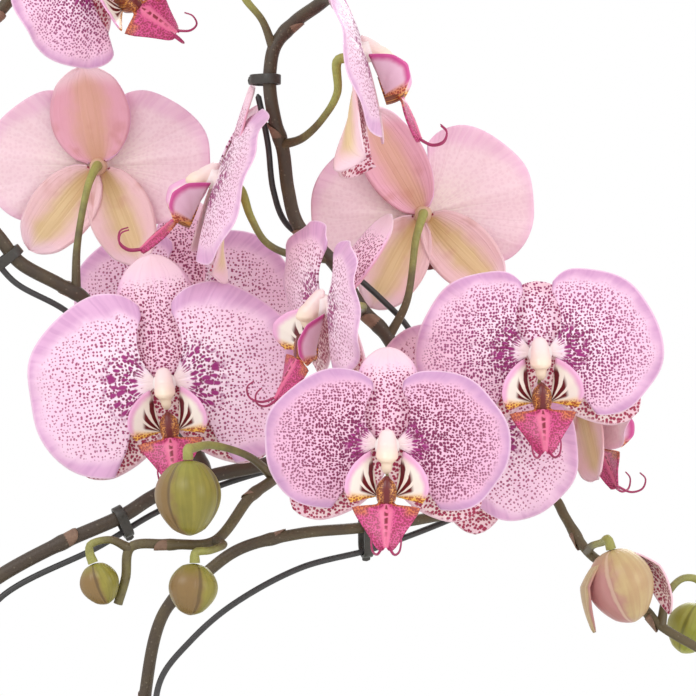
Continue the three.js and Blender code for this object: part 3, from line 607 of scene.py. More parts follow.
# %% Lip finishes
def side_lobe_finish(name, upper_shade, lower_shade, edge_shade, striped):
    paint = Finish(name)
    flat = paint.map_of("flat")
    out, turn = paint.share()
    cloud = paint.noise(flat, 3.0)
    drift = (cloud - 0.5) * 0.05
    paint.base(turn.rise(0.3, 0.08), upper_shade, lower_shade)
    if striped:
        wave = paint.math("SINE", (turn + drift + out * out * -0.3) * 25.0) + (0.62 - turn) * 1.2
        reach = out + turn.rise(1.0, 0.4) * 0.25
        paint.coat(wave.rise(-0.55, -0.1) * turn.rise(0.26, 0.36) * reach.rise(0.84, 0.7), (100, 4, 24))
    specks = paint.use(SPOTS, flat, 11.0, 0.42, 0.9) * turn.rise(0.24, 0.1)
    paint.coat(specks * 0.9, (160, 40, 30))
    paint.coat((out + drift * 1.5).rise(0.78, 0.94) * turn.rise(0.08, 0.25), edge_shade)
    return paint.end(cloud, 0.1, 0.4, Coat_Weight=0.1)


def middle_lobe_finish():
    paint = Finish("middle_lobe")
    flat = paint.map_of("flat")
    out, turn = paint.share()
    sideways = abs(turn - 0.5) * 2.0
    cloud = paint.noise(flat, 5.0)
    ridge = paint.mix(cloud, (214, 84, 132), (232, 124, 156))
    flank = paint.mix(cloud, (222, 84, 148), (190, 44, 112))
    paint.base((sideways + cloud * 0.1).rise(0.14, 0.36), ridge, flank)
    paint.coat(sideways.rise(0.45, 0.7) * out.rise(0.34, 0.22), (206, 112, 70))
    specks = paint.use(SPOTS, flat, 12.0, 0.42, 0.9) * sideways.rise(0.16, 0.3)
    paint.coat(specks * 0.75, (132, 24, 50))
    dashes = paint.math("SINE", (out + cloud * 0.12) * 46.0).rise(-0.9, 0.1)
    paint.coat(sideways.rise(0.08, 0.03) * dashes * out.rise(0.85, 0.4), (128, 18, 44))
    return paint.end(cloud, 0.15, 0.4, Coat_Weight=0.1)


def callus_finish():
    paint = Finish("callus")
    cloud = paint.grain(420.0, 1.4)
    flat = paint.map_of("flat")
    paint.base(cloud, (226, 162, 78), (188, 108, 52))
    paint.coat(paint.use(SPOTS, flat, 13.0, 0.5, 0.9) * 0.9, (112, 34, 24))
    paint.coat((abs(flat.parts()[0]) + cloud * 0.12).rise(0.26, 0.14), (104, 20, 22))
    return paint.end(cloud, 0.12, 0.4, Coat_Weight=0.15)


LIP_FINISHES = [
    side_lobe_finish("side_lobe_inside", (250, 240, 230), (244, 190, 84), (238, 176, 214), True),
    side_lobe_finish("side_lobe_outside", (244, 208, 226), (232, 160, 110), (208, 84, 150), False),
    middle_lobe_finish(),
    callus_finish(),
    grainy_finish("lip_thread", 260.0, 1.2, (176, 50, 104), (140, 26, 76), 0.08, 0.4)]
LOBE_INSIDE, LOBE_OUTSIDE, MIDDLE_LOBE, CALLUS, THREAD = range(5)
print("lip finishes:", [m.name for m in LIP_FINISHES])

# %% [markdown]
# ## The blooms
# Twelve blooms of one kind, each held in its own way. Where each stands, and how far it turns, lifts
# and rolls, repeats the solids' values; the petals' formulas do too, with ruffles and creases too fine
# for CAD. Sculpting each bloom would also work, but a formula keeps all twelve one species, and in
# their places.
# %% Where the blooms are
BLOOMS = {
    "a": dict(at=(34, -2, 455), turn=0, roll=7, size=1.07, dorsal=1.07, dorsal_breadth=1.14, splay=50,
              petal=(1.07, 1.18, 1.36)),
    "b": dict(at=(99, -28, 486), turn=-70, roll=-14, size=0.92, sweep=-6, dorsal=0.86,
              dorsal_reflex=28),
    "c": dict(at=(122, -76, 432), turn=0, roll=-1, size=0.92, dorsal=0.88, splay=55,
              petal=(1.05, 1.04, 1.1)),
    "d": dict(at=(182, -35, 467), turn=0, roll=2, size=0.97, dorsal=0.62, splay=58,
              petal=(1.03, 1.12, 1.06)),
    "e": dict(at=(4, 50, 544), turn=180, size=0.95, dorsal=0.95, dorsal_swing=-9, dorsal_breadth=1.24,
              splay=30, lateral_swing=8, petal=(1.02, 1.08, 1.04), open=0, fold=80),
    "f": dict(at=(138, 45, 524), turn=180, roll=-8, size=0.94, dorsal=1.16, dorsal_swing=-22, splay=36,
              petal=(1.02, 1.2, 1.1), open=0, fold=80),
    "g": dict(at=(55, 13, 537), turn=-82, lift=22, roll=-8, size=1.0, sweep=7, twist=30, dorsal=0.88,
              dorsal_reflex=-10, petal=(1.0, 1.12, 1.35)),
    "h": dict(at=(112, -27, 585), turn=88, lift=18, size=0.97, sweep=5, twist=42, dorsal=0.9,
              dorsal_reflex=-4, lateral=1.3, petal=(1, 1.1, 1.5), fold=-20),
    "i": dict(at=(4, 5, 620), turn=36, roll=50, size=0.95, lateral=0.8, lateral_swing=-10,
              petal=(0.84, 1.0, 1.28)),
    "j": dict(at=(202, 32, 450), turn=120, size=0.88, splay=34),
    "k": dict(at=(157, -5, 439), turn=0, roll=-42, size=0.95, dorsal=0.74),
    "l": dict(at=(38, 100, 488), turn=0, size=1.0),
}
PETAL_ANGLES = [-52, -35, -10, 14, 38, 62, 75, 82]
PETAL_REACHES = [31, 39.3, 45.8, 45.5, 40.6, 34, 30, 25.5]
CLAW_FOOT = 2.6
SEPAL_LENGTH = 44
TEPAL_THICKNESS = 0.8


def turned_x(degrees):
    c, s = math.cos(math.radians(degrees)), math.sin(math.radians(degrees))
    return np.array([[1, 0, 0], [0, c, -s], [0, s, c]])


def turned_z(degrees):
    c, s = math.cos(math.radians(degrees)), math.sin(math.radians(degrees))
    return np.array([[c, -s, 0], [s, c, 0], [0, 0, 1]])


def stance(spec):
    """How a bloom, modelled lying on its back, is held"""
    return turned_z(spec["turn"]) @ turned_x(90 - spec.get("lift", 0)) @ turned_z(spec.get("roll", 0))


def stops(first, last, count, crowd=0.0):
    """Even stops, or stops that crowd towards the last one"""
    share = np.linspace(0, 1, count)
    share = (1 - crowd) * share + crowd * np.sin(share * math.pi / 2)
    return first + (last - first) * share


print("blooms:", len(BLOOMS))

# %% [markdown]
# A petal is wider than long. Its outline is a short table: how far the rim is from the claw at each
# angle, drawn as a soft curve. The claw is narrow, so the edges beside it draw in. It cups forward near
# the column, falls back towards the rim, and the rim ruffles a little.
# %% A petal
def smooth_between(stops_along, values, place):
    """A soft curve through a few values, where straight pieces would show corners"""
    fine = np.linspace(stops_along[0], stops_along[-1], 200)
    line = np.interp(fine, stops_along, values)
    kernel = np.hanning(31)
    padded = np.concatenate([2 * line[0] - line[15:0:-1], line, 2 * line[-1] - line[-2:-17:-1]])
    return np.interp(place, fine, np.convolve(padded, kernel / kernel.sum(), "valid"))


def add_petal(skin, side, spec, faces, luck):
    size = spec["size"]
    lean = math.tan(math.radians(spec.get("sweep", 0)))
    long, upper, lower = spec.get("petal", (1, 1.05, 1.03))
    draw_in = spec.get("open", 4.5)
    phases = luck.uniform(0, 2 * math.pi, 4)

    def surface(u, degrees):
        angle = np.radians(degrees)
        rim = size * smooth_between(PETAL_ANGLES, PETAL_REACHES, degrees)
        rim = rim * (1 + 0.012 * np.sin(9 * angle + phases[0]) * u)
        reach = 0.5 + (rim - 0.5) * u
        waist = np.sin(math.pi * np.minimum(1, reach / (22 * size)))
        over = np.clip((degrees - 45) / 37, 0, 1)
        under = np.clip((-degrees - 20) / 32, 0, 1)
        x = CLAW_FOOT + long * reach * np.cos(angle) + waist * (draw_in * over + 1.5 * under)
        y = 0.5 + reach * np.sin(angle) * np.where(degrees > 0, upper, lower) + 2.5 * waist * under
        wave = 1.2 * u**3 * np.sin(5 * angle)
        ruffle = (0.9 * u**5 * np.sin(13 * angle + phases[1])
                  + 0.5 * u**2 * np.sin(3 * angle + phases[2]))
        crease = -0.7 * np.exp(-(((degrees - 8) / 5) ** 2)) * np.sin(math.pi * np.minimum(u * 1.1, 1))
        z = 1.4 + 3 * u - 6 * u * u + wave + ruffle + crease - lean * reach * np.cos(angle)
        return np.stack([side * x, y, z], axis=-1)

    shift = luck.uniform(-9, 9, 2)
    blade(skin, surface, stops(0, 1, 34, 0.3), stops(PETAL_ANGLES[0], PETAL_ANGLES[-1], 52),
          TEPAL_THICKNESS, *faces, lambda place: in_centimetres(place) + shift)


print("how far a petal reaches in mm, by angle:", dict(zip(PETAL_ANGLES, PETAL_REACHES)))

# %% [markdown]
# A sepal is a long oval that bends back from the hub. Its width swells and closes again with a sine,
# and a last factor rounds the tip.
# %% A sepal
def axes_at(degrees):
    """Level directions outwards and across, for what grows at a heading"""
    out = np.array([math.cos(math.radians(degrees)), math.sin(math.radians(degrees)), 0])
    return out, np.array([-out[1], out[0], 0])


def along_axes(axes, outwards, sideways, lift):
    point = outwards[..., None] * axes[0] + sideways[..., None] * axes[1]
    point[..., 2] += lift
    return point


def sepal_half_width(u):
    swell = np.sin(math.pi * np.minimum(1, 0.94 * u**0.85)) ** 0.75
    tip = np.sqrt(np.maximum(0.001, 1 - np.maximum(0, (u - 0.8) / 0.2) ** 2.2))
    return (3.6 + 10.4 * swell) * tip


def add_sepal(skin, angle, foot, size, faces, luck, stretch=1.0, reflex=4.0, slant=0.0, breadth=1.0):
    axes = axes_at(angle)
    back = math.tan(math.radians(reflex))
    phase = luck.uniform(0, 2 * math.pi)

    def surface(u, v):
        reach = size * stretch * SEPAL_LENGTH * u
        width = size * breadth * sepal_half_width(u)
        keel = 0.5 * np.exp(-((v / 0.12) ** 2)) * np.sin(math.pi * u)
        ruffle = 0.7 * u**3 * v * v * np.sin(7 * u + 3 * v + phase)
        z = -1.6 - back * reach - 1.5 * v * v - 2.5 * u * u + ruffle - keel
        z -= abs(slant) * (1 - np.sign(slant) * v) * width * u
        return along_axes(axes, reach, v * width, z) + np.array([*foot, 0])

    shift = luck.uniform(-9, 9, 2)
    blade(skin, surface, stops(0, 1, 26, 0.45), stops(-1, 1, 19), TEPAL_THICKNESS, *faces,
          lambda place: in_centimetres(place) + shift)


print("half width of a sepal in mm:", sepal_half_width(np.linspace(0, 1, 6)).round(1).tolist())

# %% [markdown]
# The column is a hooded knob over the lip. Rings about its upright axis give it a broad cap that
# narrows downwards, a groove under the cap, and two small wings.
# %% Column and hub
# From the top of the cap to the foot: height, half width, depth and middle of the column at each step
COLUMN_STEPS = [
    (6.5, 0.5, 0.4, 2.8), (5.8, 2.2, 1.6, 3.2), (4, 3.2, 2.6, 4.0), (1, 3.6, 3.8, 5.4),
    (-2, 3.8, 4.6, 7.0), (-4.5, 3.6, 4.6, 8.0), (-5.6, 2.9, 4.0, 8.2), (-6.4, 2.2, 3.0, 7.8),
    (-8.5, 2.0, 2.2, 7.4), (-9.8, 1.4, 1.4, 7.0), (-10.5, 0.4, 0.3, 6.8)]


def add_column(skin):
    turn = full_turn(28)
    heights, *shapes = np.transpose(COLUMN_STEPS)
    rings = []
    for y in np.linspace(heights[0], heights[-1], 46):
        half_width, depth, middle = (np.interp(-y, -heights, values) for values in shapes)
        wings = 1 + 0.14 * np.exp(-(((y + 3.5) / 2.0) ** 2)) * np.abs(np.cos(turn)) ** 6
        groove = 1 - 0.1 * math.exp(-(((y - 0.5) / 0.6) ** 2)) * np.clip(np.sin(turn), 0, 1)
        rings.append(np.stack([half_width * np.cos(turn) * wings, np.full(len(turn), y),
                               middle + depth * np.sin(turn) * groove], axis=-1))
    solid_of_rings(skin, rings, FLOWER_SLOTS["column"])


def add_hub(skin):
    turn = full_turn(20)
    rings = [ring(turn, 2.8 + 1.9 * math.sin(math.pi * share / 2), -5 + 9.5 * share)
             for share in np.linspace(0, 1, 7)]
    solid_of_rings(skin, rings, FLOWER_SLOTS["hub"])


print("length of the column in mm:", COLUMN_STEPS[0][0] - COLUMN_STEPS[-1][0])

# %% [markdown]
# The hub is where petals, sepals and flower stalk meet: a pale knot, seen only from behind.
# %% Hub finish
def hub_finish():
    paint = Finish("flower_knot")
    grain = paint.grain(500.0, 1.2)
    paint.base(grain * 0.5, (216, 178, 150), (196, 158, 122))
    paint.coat(paint.share()[0].rise(0.3, 0.7), (246, 232, 230))
    return paint.end(grain, 0.15)


FLOWER_FINISHES = {
    "petal": PETAL_FACE, "petal_back": PETAL_BACK, "dorsal": DORSAL_FACE, "dorsal_back": DORSAL_BACK,
    "lateral": LATERAL_FACE, "lateral_back": LATERAL_BACK, "column": COLUMN_FINISH, "hub": hub_finish(),
    "pale_petal": PETAL_FACE_PALE, "deep_petal": PETAL_FACE_DEEP, "dense_dorsal": DORSAL_FACE_DENSE}
FLOWER_SLOTS = {name: slot for slot, name in enumerate(FLOWER_FINISHES)}
# The pale finish is the paler colour that blooms a, b, g, h and l have. On k, which lies behind c and
# d, it is also painted light: a lighter ground that offsets the shade falling there.
PETAL_KINDS = dict.fromkeys("abghkl", "pale_petal") | {"c": "deep_petal"}
DORSAL_KINDS = {"d": "dense_dorsal"}


def add_flower(letter, spec, luck):
    skin = Skin()
    add_hub(skin)
    add_column(skin)
    size = spec["size"]
    petal_faces = FLOWER_SLOTS[PETAL_KINDS.get(letter, "petal")], FLOWER_SLOTS["petal_back"]
    dorsal_faces = FLOWER_SLOTS[DORSAL_KINDS.get(letter, "dorsal")], FLOWER_SLOTS["dorsal_back"]
    lateral_faces = FLOWER_SLOTS["lateral"], FLOWER_SLOTS["lateral_back"]
    for side in (1, -1):
        add_petal(skin, side, spec, petal_faces, luck)
    add_sepal(skin, 90 + spec.get("dorsal_swing", 0), (0, 2), size, dorsal_faces, luck,
              stretch=spec.get("dorsal", 1.0), reflex=spec.get("dorsal_reflex", 4.0),
              breadth=spec.get("dorsal_breadth", 1.0))
    splay, swing = spec.get("splay", 43), spec.get("lateral_swing", 0)
    for side in (1, -1):
        add_sepal(skin, -90 + side * splay + swing, (side * 2.2, -1.6), size, lateral_faces, luck,
                  stretch=spec.get("lateral", 1.0),
                  slant=side * math.tan(math.radians(spec.get("twist", 0))))
    return skin.piece(f"flower_{letter}", FLOWER_FINISHES.values(), [f"bloom_{letter}_tepals"], "tepal",
                      stance(spec), spec["at"])


for order, (letter, spec) in enumerate(BLOOMS.items()):
    flower = add_flower(letter, spec, np.random.default_rng(100 + order))
print("faces in one flower:", len(flower.data.polygons))

# %% [markdown]
# ## The lip
# Two side lobes stand up round the column like hands and cup forward. The middle lobe is an arrowhead
# with two sharp corners and a tip that runs out into two thin curled threads. Between them sits the
# callus, a small horned block. All are blades again, apart from the callus, a stack of rings, and the
# threads, thin tubes.
# %% Lip parts
LOBE_ANGLES = [-12, 12, 35, 60, 80]
LOBE_THICKNESS = 0.7
HINGE_HEIGHT, HINGE_DEPTH = -21, 10.5


def add_side_lobe(skin, side):
    def surface(u, degrees):
        reach = smooth_between(LOBE_ANGLES, [10.6, 12.9, 14.3, 15.9, 17.4], degrees) * (0.06 + 0.94 * u)
        forward = smooth_between(LOBE_ANGLES, [7, 11, 11.5, 7.5, -1], degrees)
        turn = np.radians(degrees)
        curl = 0.5 * np.sin(np.radians(degrees * 3)) * u * u
        return np.stack([side * (3.2 + reach * np.cos(turn)), -19 + reach * np.sin(turn),
                         4.5 + forward * u**1.3 + curl], axis=-1)

    blade(skin, surface, stops(0, 1, 16, 0.3), stops(LOBE_ANGLES[0], LOBE_ANGLES[-1], 30),
          LOBE_THICKNESS, LOBE_INSIDE, LOBE_OUTSIDE, toward=(-side, 0, 0.8))


def folded(points, degrees):
    """Turns points forward about the line where the middle lobe starts"""
    hinge = np.array([0, HINGE_HEIGHT, HINGE_DEPTH])
    return (points - hinge) @ turned_x(-degrees).T + hinge


def add_middle_lobe(skin, fold):
    shares = [0, 0.1, 0.18, 0.6, 0.9, 1]
    half_widths = [2.6, 4, 13, 7.5, 4.0, 2.2]

    def surface(u, v):
        width = np.interp(u, shares, half_widths)
        notch = 1.6 * np.exp(-((v / 0.35) ** 2)) * np.clip((u - 0.9) / 0.1, 0, 1)
        y = HINGE_HEIGHT - 18 * u + notch + 1.2 * np.abs(v) * np.exp(-(((u - 0.17) / 0.08) ** 2))
        ridge = 0.7 * np.exp(-((v / 0.16) ** 2)) * np.sin(math.pi * np.clip(u, 0, 1))
        cupped = 0.8 * v**4 * np.exp(-(((u - 0.22) / 0.2) ** 2))
        z = HINGE_DEPTH + 8.5 * u - 2.4 * np.abs(v) ** 1.3 + ridge + cupped
        return folded(np.stack([v * width, y, z], axis=-1), fold)

    us = np.array([0, 0.04, 0.08, 0.11, 0.135, 0.16, 0.185, 0.21, 0.25, 0.33, 0.42, 0.5, 0.58, 0.66,
                   0.74, 0.82, 0.88, 0.93, 0.97, 1])
    blade(skin, surface, us, stops(-1, 1, 25), TEPAL_THICKNESS, MIDDLE_LOBE, MIDDLE_LOBE)


def add_callus(skin):
    turn = full_turn(40)
    rings = []
    for share in np.linspace(0, 1, 11):
        swell = 0.9 + 0.1 * math.sin(math.pi * (0.2 + 0.6 * share)) - 0.25 * share**4
        x = 3.9 * squarish(np.cos(turn), 0.8) * swell
        horns = 1.5 * np.exp(-((np.cos(turn) / 0.3) ** 2)) * np.clip(np.sin(turn), 0, 1)
        y = -17.6 + 5.2 * squarish(np.sin(turn), 0.8) * swell + horns
        rings.append(np.stack([x, y, np.full(len(turn), 3.5 + 8 * share)], axis=-1))
    solid_of_rings(skin, rings, CALLUS)


print("lip parts: side lobes, middle lobe, callus")

# %% [markdown]
# A tube needs a smooth centre line. A Catmull-Rom curve passes through each given point, and the
# centripetal kind makes no loops where points lie close; the solids use the same one, so the fine tubes
# lie inside their solids' paths. Bezier curves would need handles for every point.
# %% Smooth routes
def route(points, spacing):
    p = np.array(points, float)
    p = np.vstack([2 * p[0] - p[1], p, 2 * p[-1] - p[-2]])
    share = np.linspace(0, 1, 24, endpoint=False)[:, None]
    fine = []
    for i in range(1, len(p) - 2):
        g = [math.sqrt(np.linalg.norm(p[i + k] - p[i + k - 1])) for k in range(3)]
        start = ((p[i] - p[i - 1]) / g[0] - (p[i + 1] - p[i - 1]) / (g[0] + g[1])
                 + (p[i + 1] - p[i]) / g[1])
        stop = ((p[i + 1] - p[i]) / g[1] - (p[i + 2] - p[i]) / (g[1] + g[2])
                + (p[i + 2] - p[i + 1]) / g[2])
        start, stop = start * g[1], stop * g[1]
        bend = -3 * p[i] + 3 * p[i + 1] - 2 * start - stop
        twist = 2 * p[i] - 2 * p[i + 1] + start + stop
        fine.append(p[i] + start * share + bend * share**2 + twist * share**3)
    fine = np.vstack(fine + [p[-2:-1]])
    length = np.concatenate([[0], np.cumsum(np.linalg.norm(np.diff(fine, axis=0), axis=1))])
    count = max(4, round(length[-1] / spacing))
    even = np.linspace(0, length[-1], count + 1)
    return np.stack([np.interp(even, length, fine[:, axis]) for axis in range(3)], axis=1)


def add_tube(skin, line, radii, finish, sides=8):
    tangent = np.gradient(line, axis=0)
    tangent /= np.linalg.norm(tangent, axis=1, keepdims=True)
    spoke = np.cross(tangent[0], [0.3, 0.5, 0.81])
    rings = []
    for place, ahead, radius in zip(line, tangent, radii):
        spoke = spoke - ahead * (spoke @ ahead)
        spoke /= np.linalg.norm(spoke)
        other = np.cross(ahead, spoke)
        turn = np.linspace(0, 2 * math.pi, sides, endpoint=False)[:, None]
        rings.append(place + radius * (np.cos(turn) * spoke + np.sin(turn) * other))
    solid_of_rings(skin, rings, finish)


def add_lip(letter, spec):
    skin = Skin()
    fold = spec.get("fold", 0)
    add_middle_lobe(skin, fold)
    add_callus(skin)
    for side in (1, -1):
        add_side_lobe(skin, side)
        curl = [
            [1.2, -37.4, 17.2], [3.2, -40, 23], [5, -38.5, 27.5], [5.6, -34.5, 28.5], [5.2, -32, 26]]
        line = folded(route([(side * x, y, z) for x, y, z in curl], 1.0), fold)
        add_tube(skin, line, np.linspace(0.6, 0.3, len(line)), THREAD, 7)
    return skin.piece(
        f"lip_{letter}", LIP_FINISHES, [f"bloom_{letter}_lip"], "lip", stance(spec), spec["at"])


for letter, spec in BLOOMS.items():
    lip = add_lip(letter, spec)
print("faces in one lip:", len(lip.data.polygons))

# %% [markdown]
# ## Buds
# A bud is an egg of three sepals that meet in soft ribs, blunt at its tip. Rings round its axis give
# that form. It is yellow-green with a pinkish brown flush along the ribs and towards the stalk. The one
# at the lower right has begun to open: two of its sepals peel away and show their spotted inner faces.
# %% Bud finish
BUDS = {
    "large": dict(at=(46, -57, 411.5), tip=(0.02, 0, -1), length=29, breadth=0.88, spin=14),
    "middle": dict(at=(47, -52, 376), tip=(-0.1, 0, -1), length=20, breadth=0.95, spin=-50),
    "small": dict(at=(11.5, -50, 378), tip=(0.35, 0, -1), length=16.5, breadth=0.92, spin=-20),
    "opening": dict(at=(216, -15, 375), tip=(0.3, 0, -0.95), length=30, breadth=0.88),
    "edge": dict(at=(245.5, 13, 356), tip=(-0.35, 0, -0.94), length=21, breadth=0.9),
    "end_right": dict(at=(272, -9, 331), tip=(0.6, 0, -0.7), length=12.8, breadth=0.8),
    "upper": dict(at=(53, -6, 622), tip=(-0.7, 0, 0.5), length=22, breadth=0.85),
    "end_upper": dict(at=(111, 17, 652), tip=(0.2, 0, 0.9), length=15, breadth=0.8),
    "end_left": dict(at=(-3, 32, 654), tip=(0.5, 0.1, 0.8), length=15, breadth=0.8),
}


def bud_finish(name, light, dark, flush_shade, foot_shade, seam_shade):
    paint = Finish(name)
    along, around = paint.share()
    cloud = paint.grain(120.0, 1.3)
    veins = paint.use(VEINS, along, around, 34.0, 0.4)
    flush = paint.math("COSINE", (around - 0.93) * (2 * math.pi)) + cloud * 0.6
    seam = paint.math("COSINE", (around + cloud * 0.02) * (6 * math.pi))
    paint.base(cloud, light, dark)
    paint.coat(veins * 0.5, dark)
    paint.coat(flush.rise(0.75, 1.15) * 0.8, flush_shade)
    paint.coat(along.rise(0.35, 0.02, 0.0, 0.6), foot_shade)
    # A thin line runs along the three seams. On the closed buds it is dark: painted shade in the
    # grooves where the sepals meet. On the opening bud the line is pale.
    paint.coat(seam.rise(-0.94, -1.0, 0.0, 0.55), seam_shade)
    return paint.end(veins, 0.15, 0.38)


BUD_FINISH = bud_finish(
    "bud_skin", (154, 142, 58), (116, 108, 36), (130, 96, 62), (140, 142, 56), (80, 60, 34))
BUD_FINISHES = {
    "opening": bud_finish(
        "opening_bud_skin", (202, 180, 128), (178, 140, 104), (178, 114, 122), (202, 182, 124),
        (226, 200, 172)),
    "edge": bud_finish(
        "green_bud_skin", (172, 170, 72), (130, 134, 46), (150, 142, 62), (160, 164, 70), (96, 92, 36))}
print("finishes:", BUD_FINISH.name, [m.name for m in BUD_FINISHES.values()])


# %% Bud shapes
def turn_up_axis_to(tip):
    """The shortest turn that takes +Z to the tip's direction"""
    aim = np.array(tip, float) / np.linalg.norm(tip)
    axis = np.cross([0, 0, 1], aim)
    cross = np.array([[0, -axis[2], axis[1]], [axis[2], 0, -axis[0]], [-axis[1], axis[0], 0]])
    return np.eye(3) + cross + cross @ cross / (1 + aim[2])


def add_bulb(skin, length, breadth, spin=0):
    turn = full_turn(72)
    rings = []
    for share in np.concatenate([[0, 0.004, 0.02], np.linspace(0.05, 0.95, 26), [0.98, 0.996, 1]]):
        swell = math.sin(math.pi * (0.07 + 0.87 * share**0.9)) ** 0.75
        close = math.sqrt(max(0.02, 1 - max(0, (0.06 - share) / 0.06) ** 2.0
                              - max(0, (share - 0.9) / 0.1) ** 2.2))
        seam = -0.07 * np.exp(-(((np.cos(3 * turn) + 1) / 0.06) ** 2)) * math.sin(math.pi * share)
        radius = length / 2 * breadth * swell * close * (1 + 0.05 * np.cos(3 * turn) + seam)
        rings.append(ring(turn + math.radians(spin), radius, length * (share - 0.5)))
    solid_of_rings(skin, rings, 0)


def add_peeled_sepal(skin, heading, length, outward):
    axes = axes_at(heading)

    def surface(u, v):
        rounded = np.sqrt(np.maximum(0.002, 1 - np.maximum(0, (u - 0.75) / 0.25) ** 2.4))
        half_width = (1.5 + 6 * np.sin(math.pi * np.minimum(1, 0.08 + u * 0.9)) ** 0.8) * rounded
        clear = 3 + 10.6 * np.sqrt(np.minimum(1, 3 * u + 0.02)) + outward * np.sin(math.pi * 0.62 * u)
        clear = clear - 1.6 * v * v + 0.4 * u * np.sin(5 * u + 2 * v)
        return along_axes(axes, clear, v * half_width, -13 + length * u)

    blade(skin, surface, stops(0, 1, 26, 0.3), stops(-1, 1, 15), TEPAL_THICKNESS, 2, 1,
          lambda place: np.stack([place[..., 2], place @ axes[1]], axis=-1) / 10, toward=-axes[0])


for name, spec in BUDS.items():
    skin = Skin()
    add_bulb(skin, spec["length"], spec["breadth"], spec.get("spin", 0))
    if name == "opening":
        add_peeled_sepal(skin, 352, 27, 4)
        add_peeled_sepal(skin, 150, 30, 5)
    finish = BUD_FINISHES.get(name, BUD_FINISH)
    bud = skin.piece(f"flower_bud_{name}", [finish, finish, LATERAL_FACE], [f"bud_{name}"], "bud",
                     turn_up_axis_to(spec["tip"]), spec["at"])
print("buds:", len(BUDS))

# %% [markdown]
# ## Stems, stalks, wires and roots
# Each is a tube that follows a route and changes its thickness on the way. Geometry Nodes suit that:
# the route is a chain of points that carry their thickness, the tree turns it into a curve, sets its
# radius and sweeps a circle along it. Its inputs are the number of sides and the finish. Sweeping by
# hand would need frames that don't twist, which the node works out by itself.
# %% Trees that make shapes
def make_tree(name, inputs, output, nodes, links):
    """Makes a Geometry Nodes tree; each link is written as: node.output > node.input"""
    tree = bpy.data.node_groups.new(name, "GeometryNodeTree")
    for label, kind in inputs.items():
        tree.interface.new_socket(label, in_out="INPUT", socket_type="NodeSocket" + kind)
    tree.interface.new_socket(output, in_out="OUTPUT", socket_type="NodeSocketGeometry")
    made = {"start": tree.nodes.new("NodeGroupInput"), "finish": tree.nodes.new("NodeGroupOutput")}
    for label, (kind, settings, values) in nodes.items():
        made[label] = tree.nodes.new(kind)
        for key, value in settings.items():
            setattr(made[label], key, value)
        for key, value in values.items():
            made[label].inputs[key].default_value = value
    for link in links.split(", "):
        (source, out), (target, into) = (end.split(".") for end in link.split(" > "))
        out, into = (int(key) if key.isdigit() else key for key in (out, into))
        tree.links.new(made[source].outputs[out], made[target].inputs[into])
    return tree


def grow(name, host_mesh, tree, values):
    """Runs a tree on a mesh and gives back the plain mesh that it makes"""
    host = bpy.data.objects.new(name + "_host", host_mesh)
    bpy.context.scene.collection.objects.link(host)
    modifier = host.modifiers.new("grow", "NODES")
    modifier.node_group = tree
    for socket in tree.interface.items_tree:
        if socket.in_out == "INPUT" and socket.name in values:
            modifier[socket.identifier] = values[socket.name]
    depsgraph = bpy.context.evaluated_depsgraph_get()
    grown = bpy.data.meshes.new_from_object(host.evaluated_get(depsgraph), depsgraph=depsgraph)
    grown.name = name
    bpy.data.objects.remove(host)
    bpy.data.meshes.remove(host_mesh)
    return grown


def chain_mesh(lines, thicknesses, ages):
    """Routes as chains of points, with how thick and how young each point is"""
    edges = []
    first = 0
    for line in lines:
        edges += [(first + i, first + i + 1) for i in range(len(line) - 1)]
        first += len(line)
    mesh = plain_mesh("routes", np.concatenate(lines), edges=edges)
    for label, values, scale in (("thickness", thicknesses, MM), ("youth", ages, 1.0)):
        layer = mesh.attributes.new(label, "FLOAT", "POINT")
        layer.data.foreach_set("value", (np.concatenate(values) * scale).astype(np.float32))
    return mesh


print("tree helpers:", make_tree.__name__, grow.__name__, chain_mesh.__name__)


# %% A tube along a route
TUBE = make_tree(
    "tube_along_route", {"Route": "Geometry", "Sides": "Int", "Finish": "Material"}, "Tube", {
        "chain": ("GeometryNodeMeshToCurve", {}, {}),
        "thickness": ("GeometryNodeInputNamedAttribute", {}, {"Name": "thickness"}),
        "radius": ("GeometryNodeSetCurveRadius", {}, {}),
        "circle": ("GeometryNodeCurvePrimitiveCircle", {}, {"Radius": 1.0}),
        "sweep": ("GeometryNodeCurveToMesh", {}, {"Fill Caps": True}),
        "smooth": ("GeometryNodeSetShadeSmooth", {}, {}),
        "realize": ("GeometryNodeRealizeInstances", {}, {}),
        "dress": ("GeometryNodeSetMaterial", {}, {})},
    "start.Route > chain.Mesh, chain.Curve > radius.Curve, thickness.Attribute > radius.Radius, "
    "start.Sides > circle.Resolution, radius.Curve > sweep.Curve, circle.Curve > sweep.Profile Curve, "
    "thickness.Attribute > sweep.Scale, sweep.Mesh > smooth.Geometry, "
    "smooth.Geometry > realize.Geometry, realize.Geometry > dress.Geometry, "
    "start.Finish > dress.Material, dress.Geometry > finish.Tube")
print("tree:", TUBE.name, "inputs:", [s.name for s in TUBE.interface.items_tree if s.in_out == "INPUT"])

# %% [markdown]
# The stems are dark brown-grey and turn olive towards their ends, and the flower stalks run from brown
# to yellow-green. The chain's "youth" value says how far along that change a point is. Fine lengthwise
# mottling and small pale pores break up the colour.
# %% Stem finish
def stem_finish():
    paint = Finish("stem_skin")
    cloud, fine = paint.grain(110.0, 1.6), paint.grain(900.0, 1.6)
    age = paint.youth() + (cloud - 0.5) * 0.35
    paint.base(age.rise(0.0, 0.45), (70, 56, 44), (98, 84, 54))
    paint.coat(age.rise(0.4, 0.9), (164, 162, 84))
    paint.coat(fine * 0.3, (48, 38, 32))
    pores = paint.node("ShaderNodeTexVoronoi", {"Vector": paint.place(), "Scale": 420.0}, "Distance")
    paint.coat(pores.rise(0.2, 0.1) * 0.16, (176, 164, 140))
    return paint.end(fine, 0.2)


STEM_FINISH = stem_finish()
print("finish:", STEM_FINISH.name)

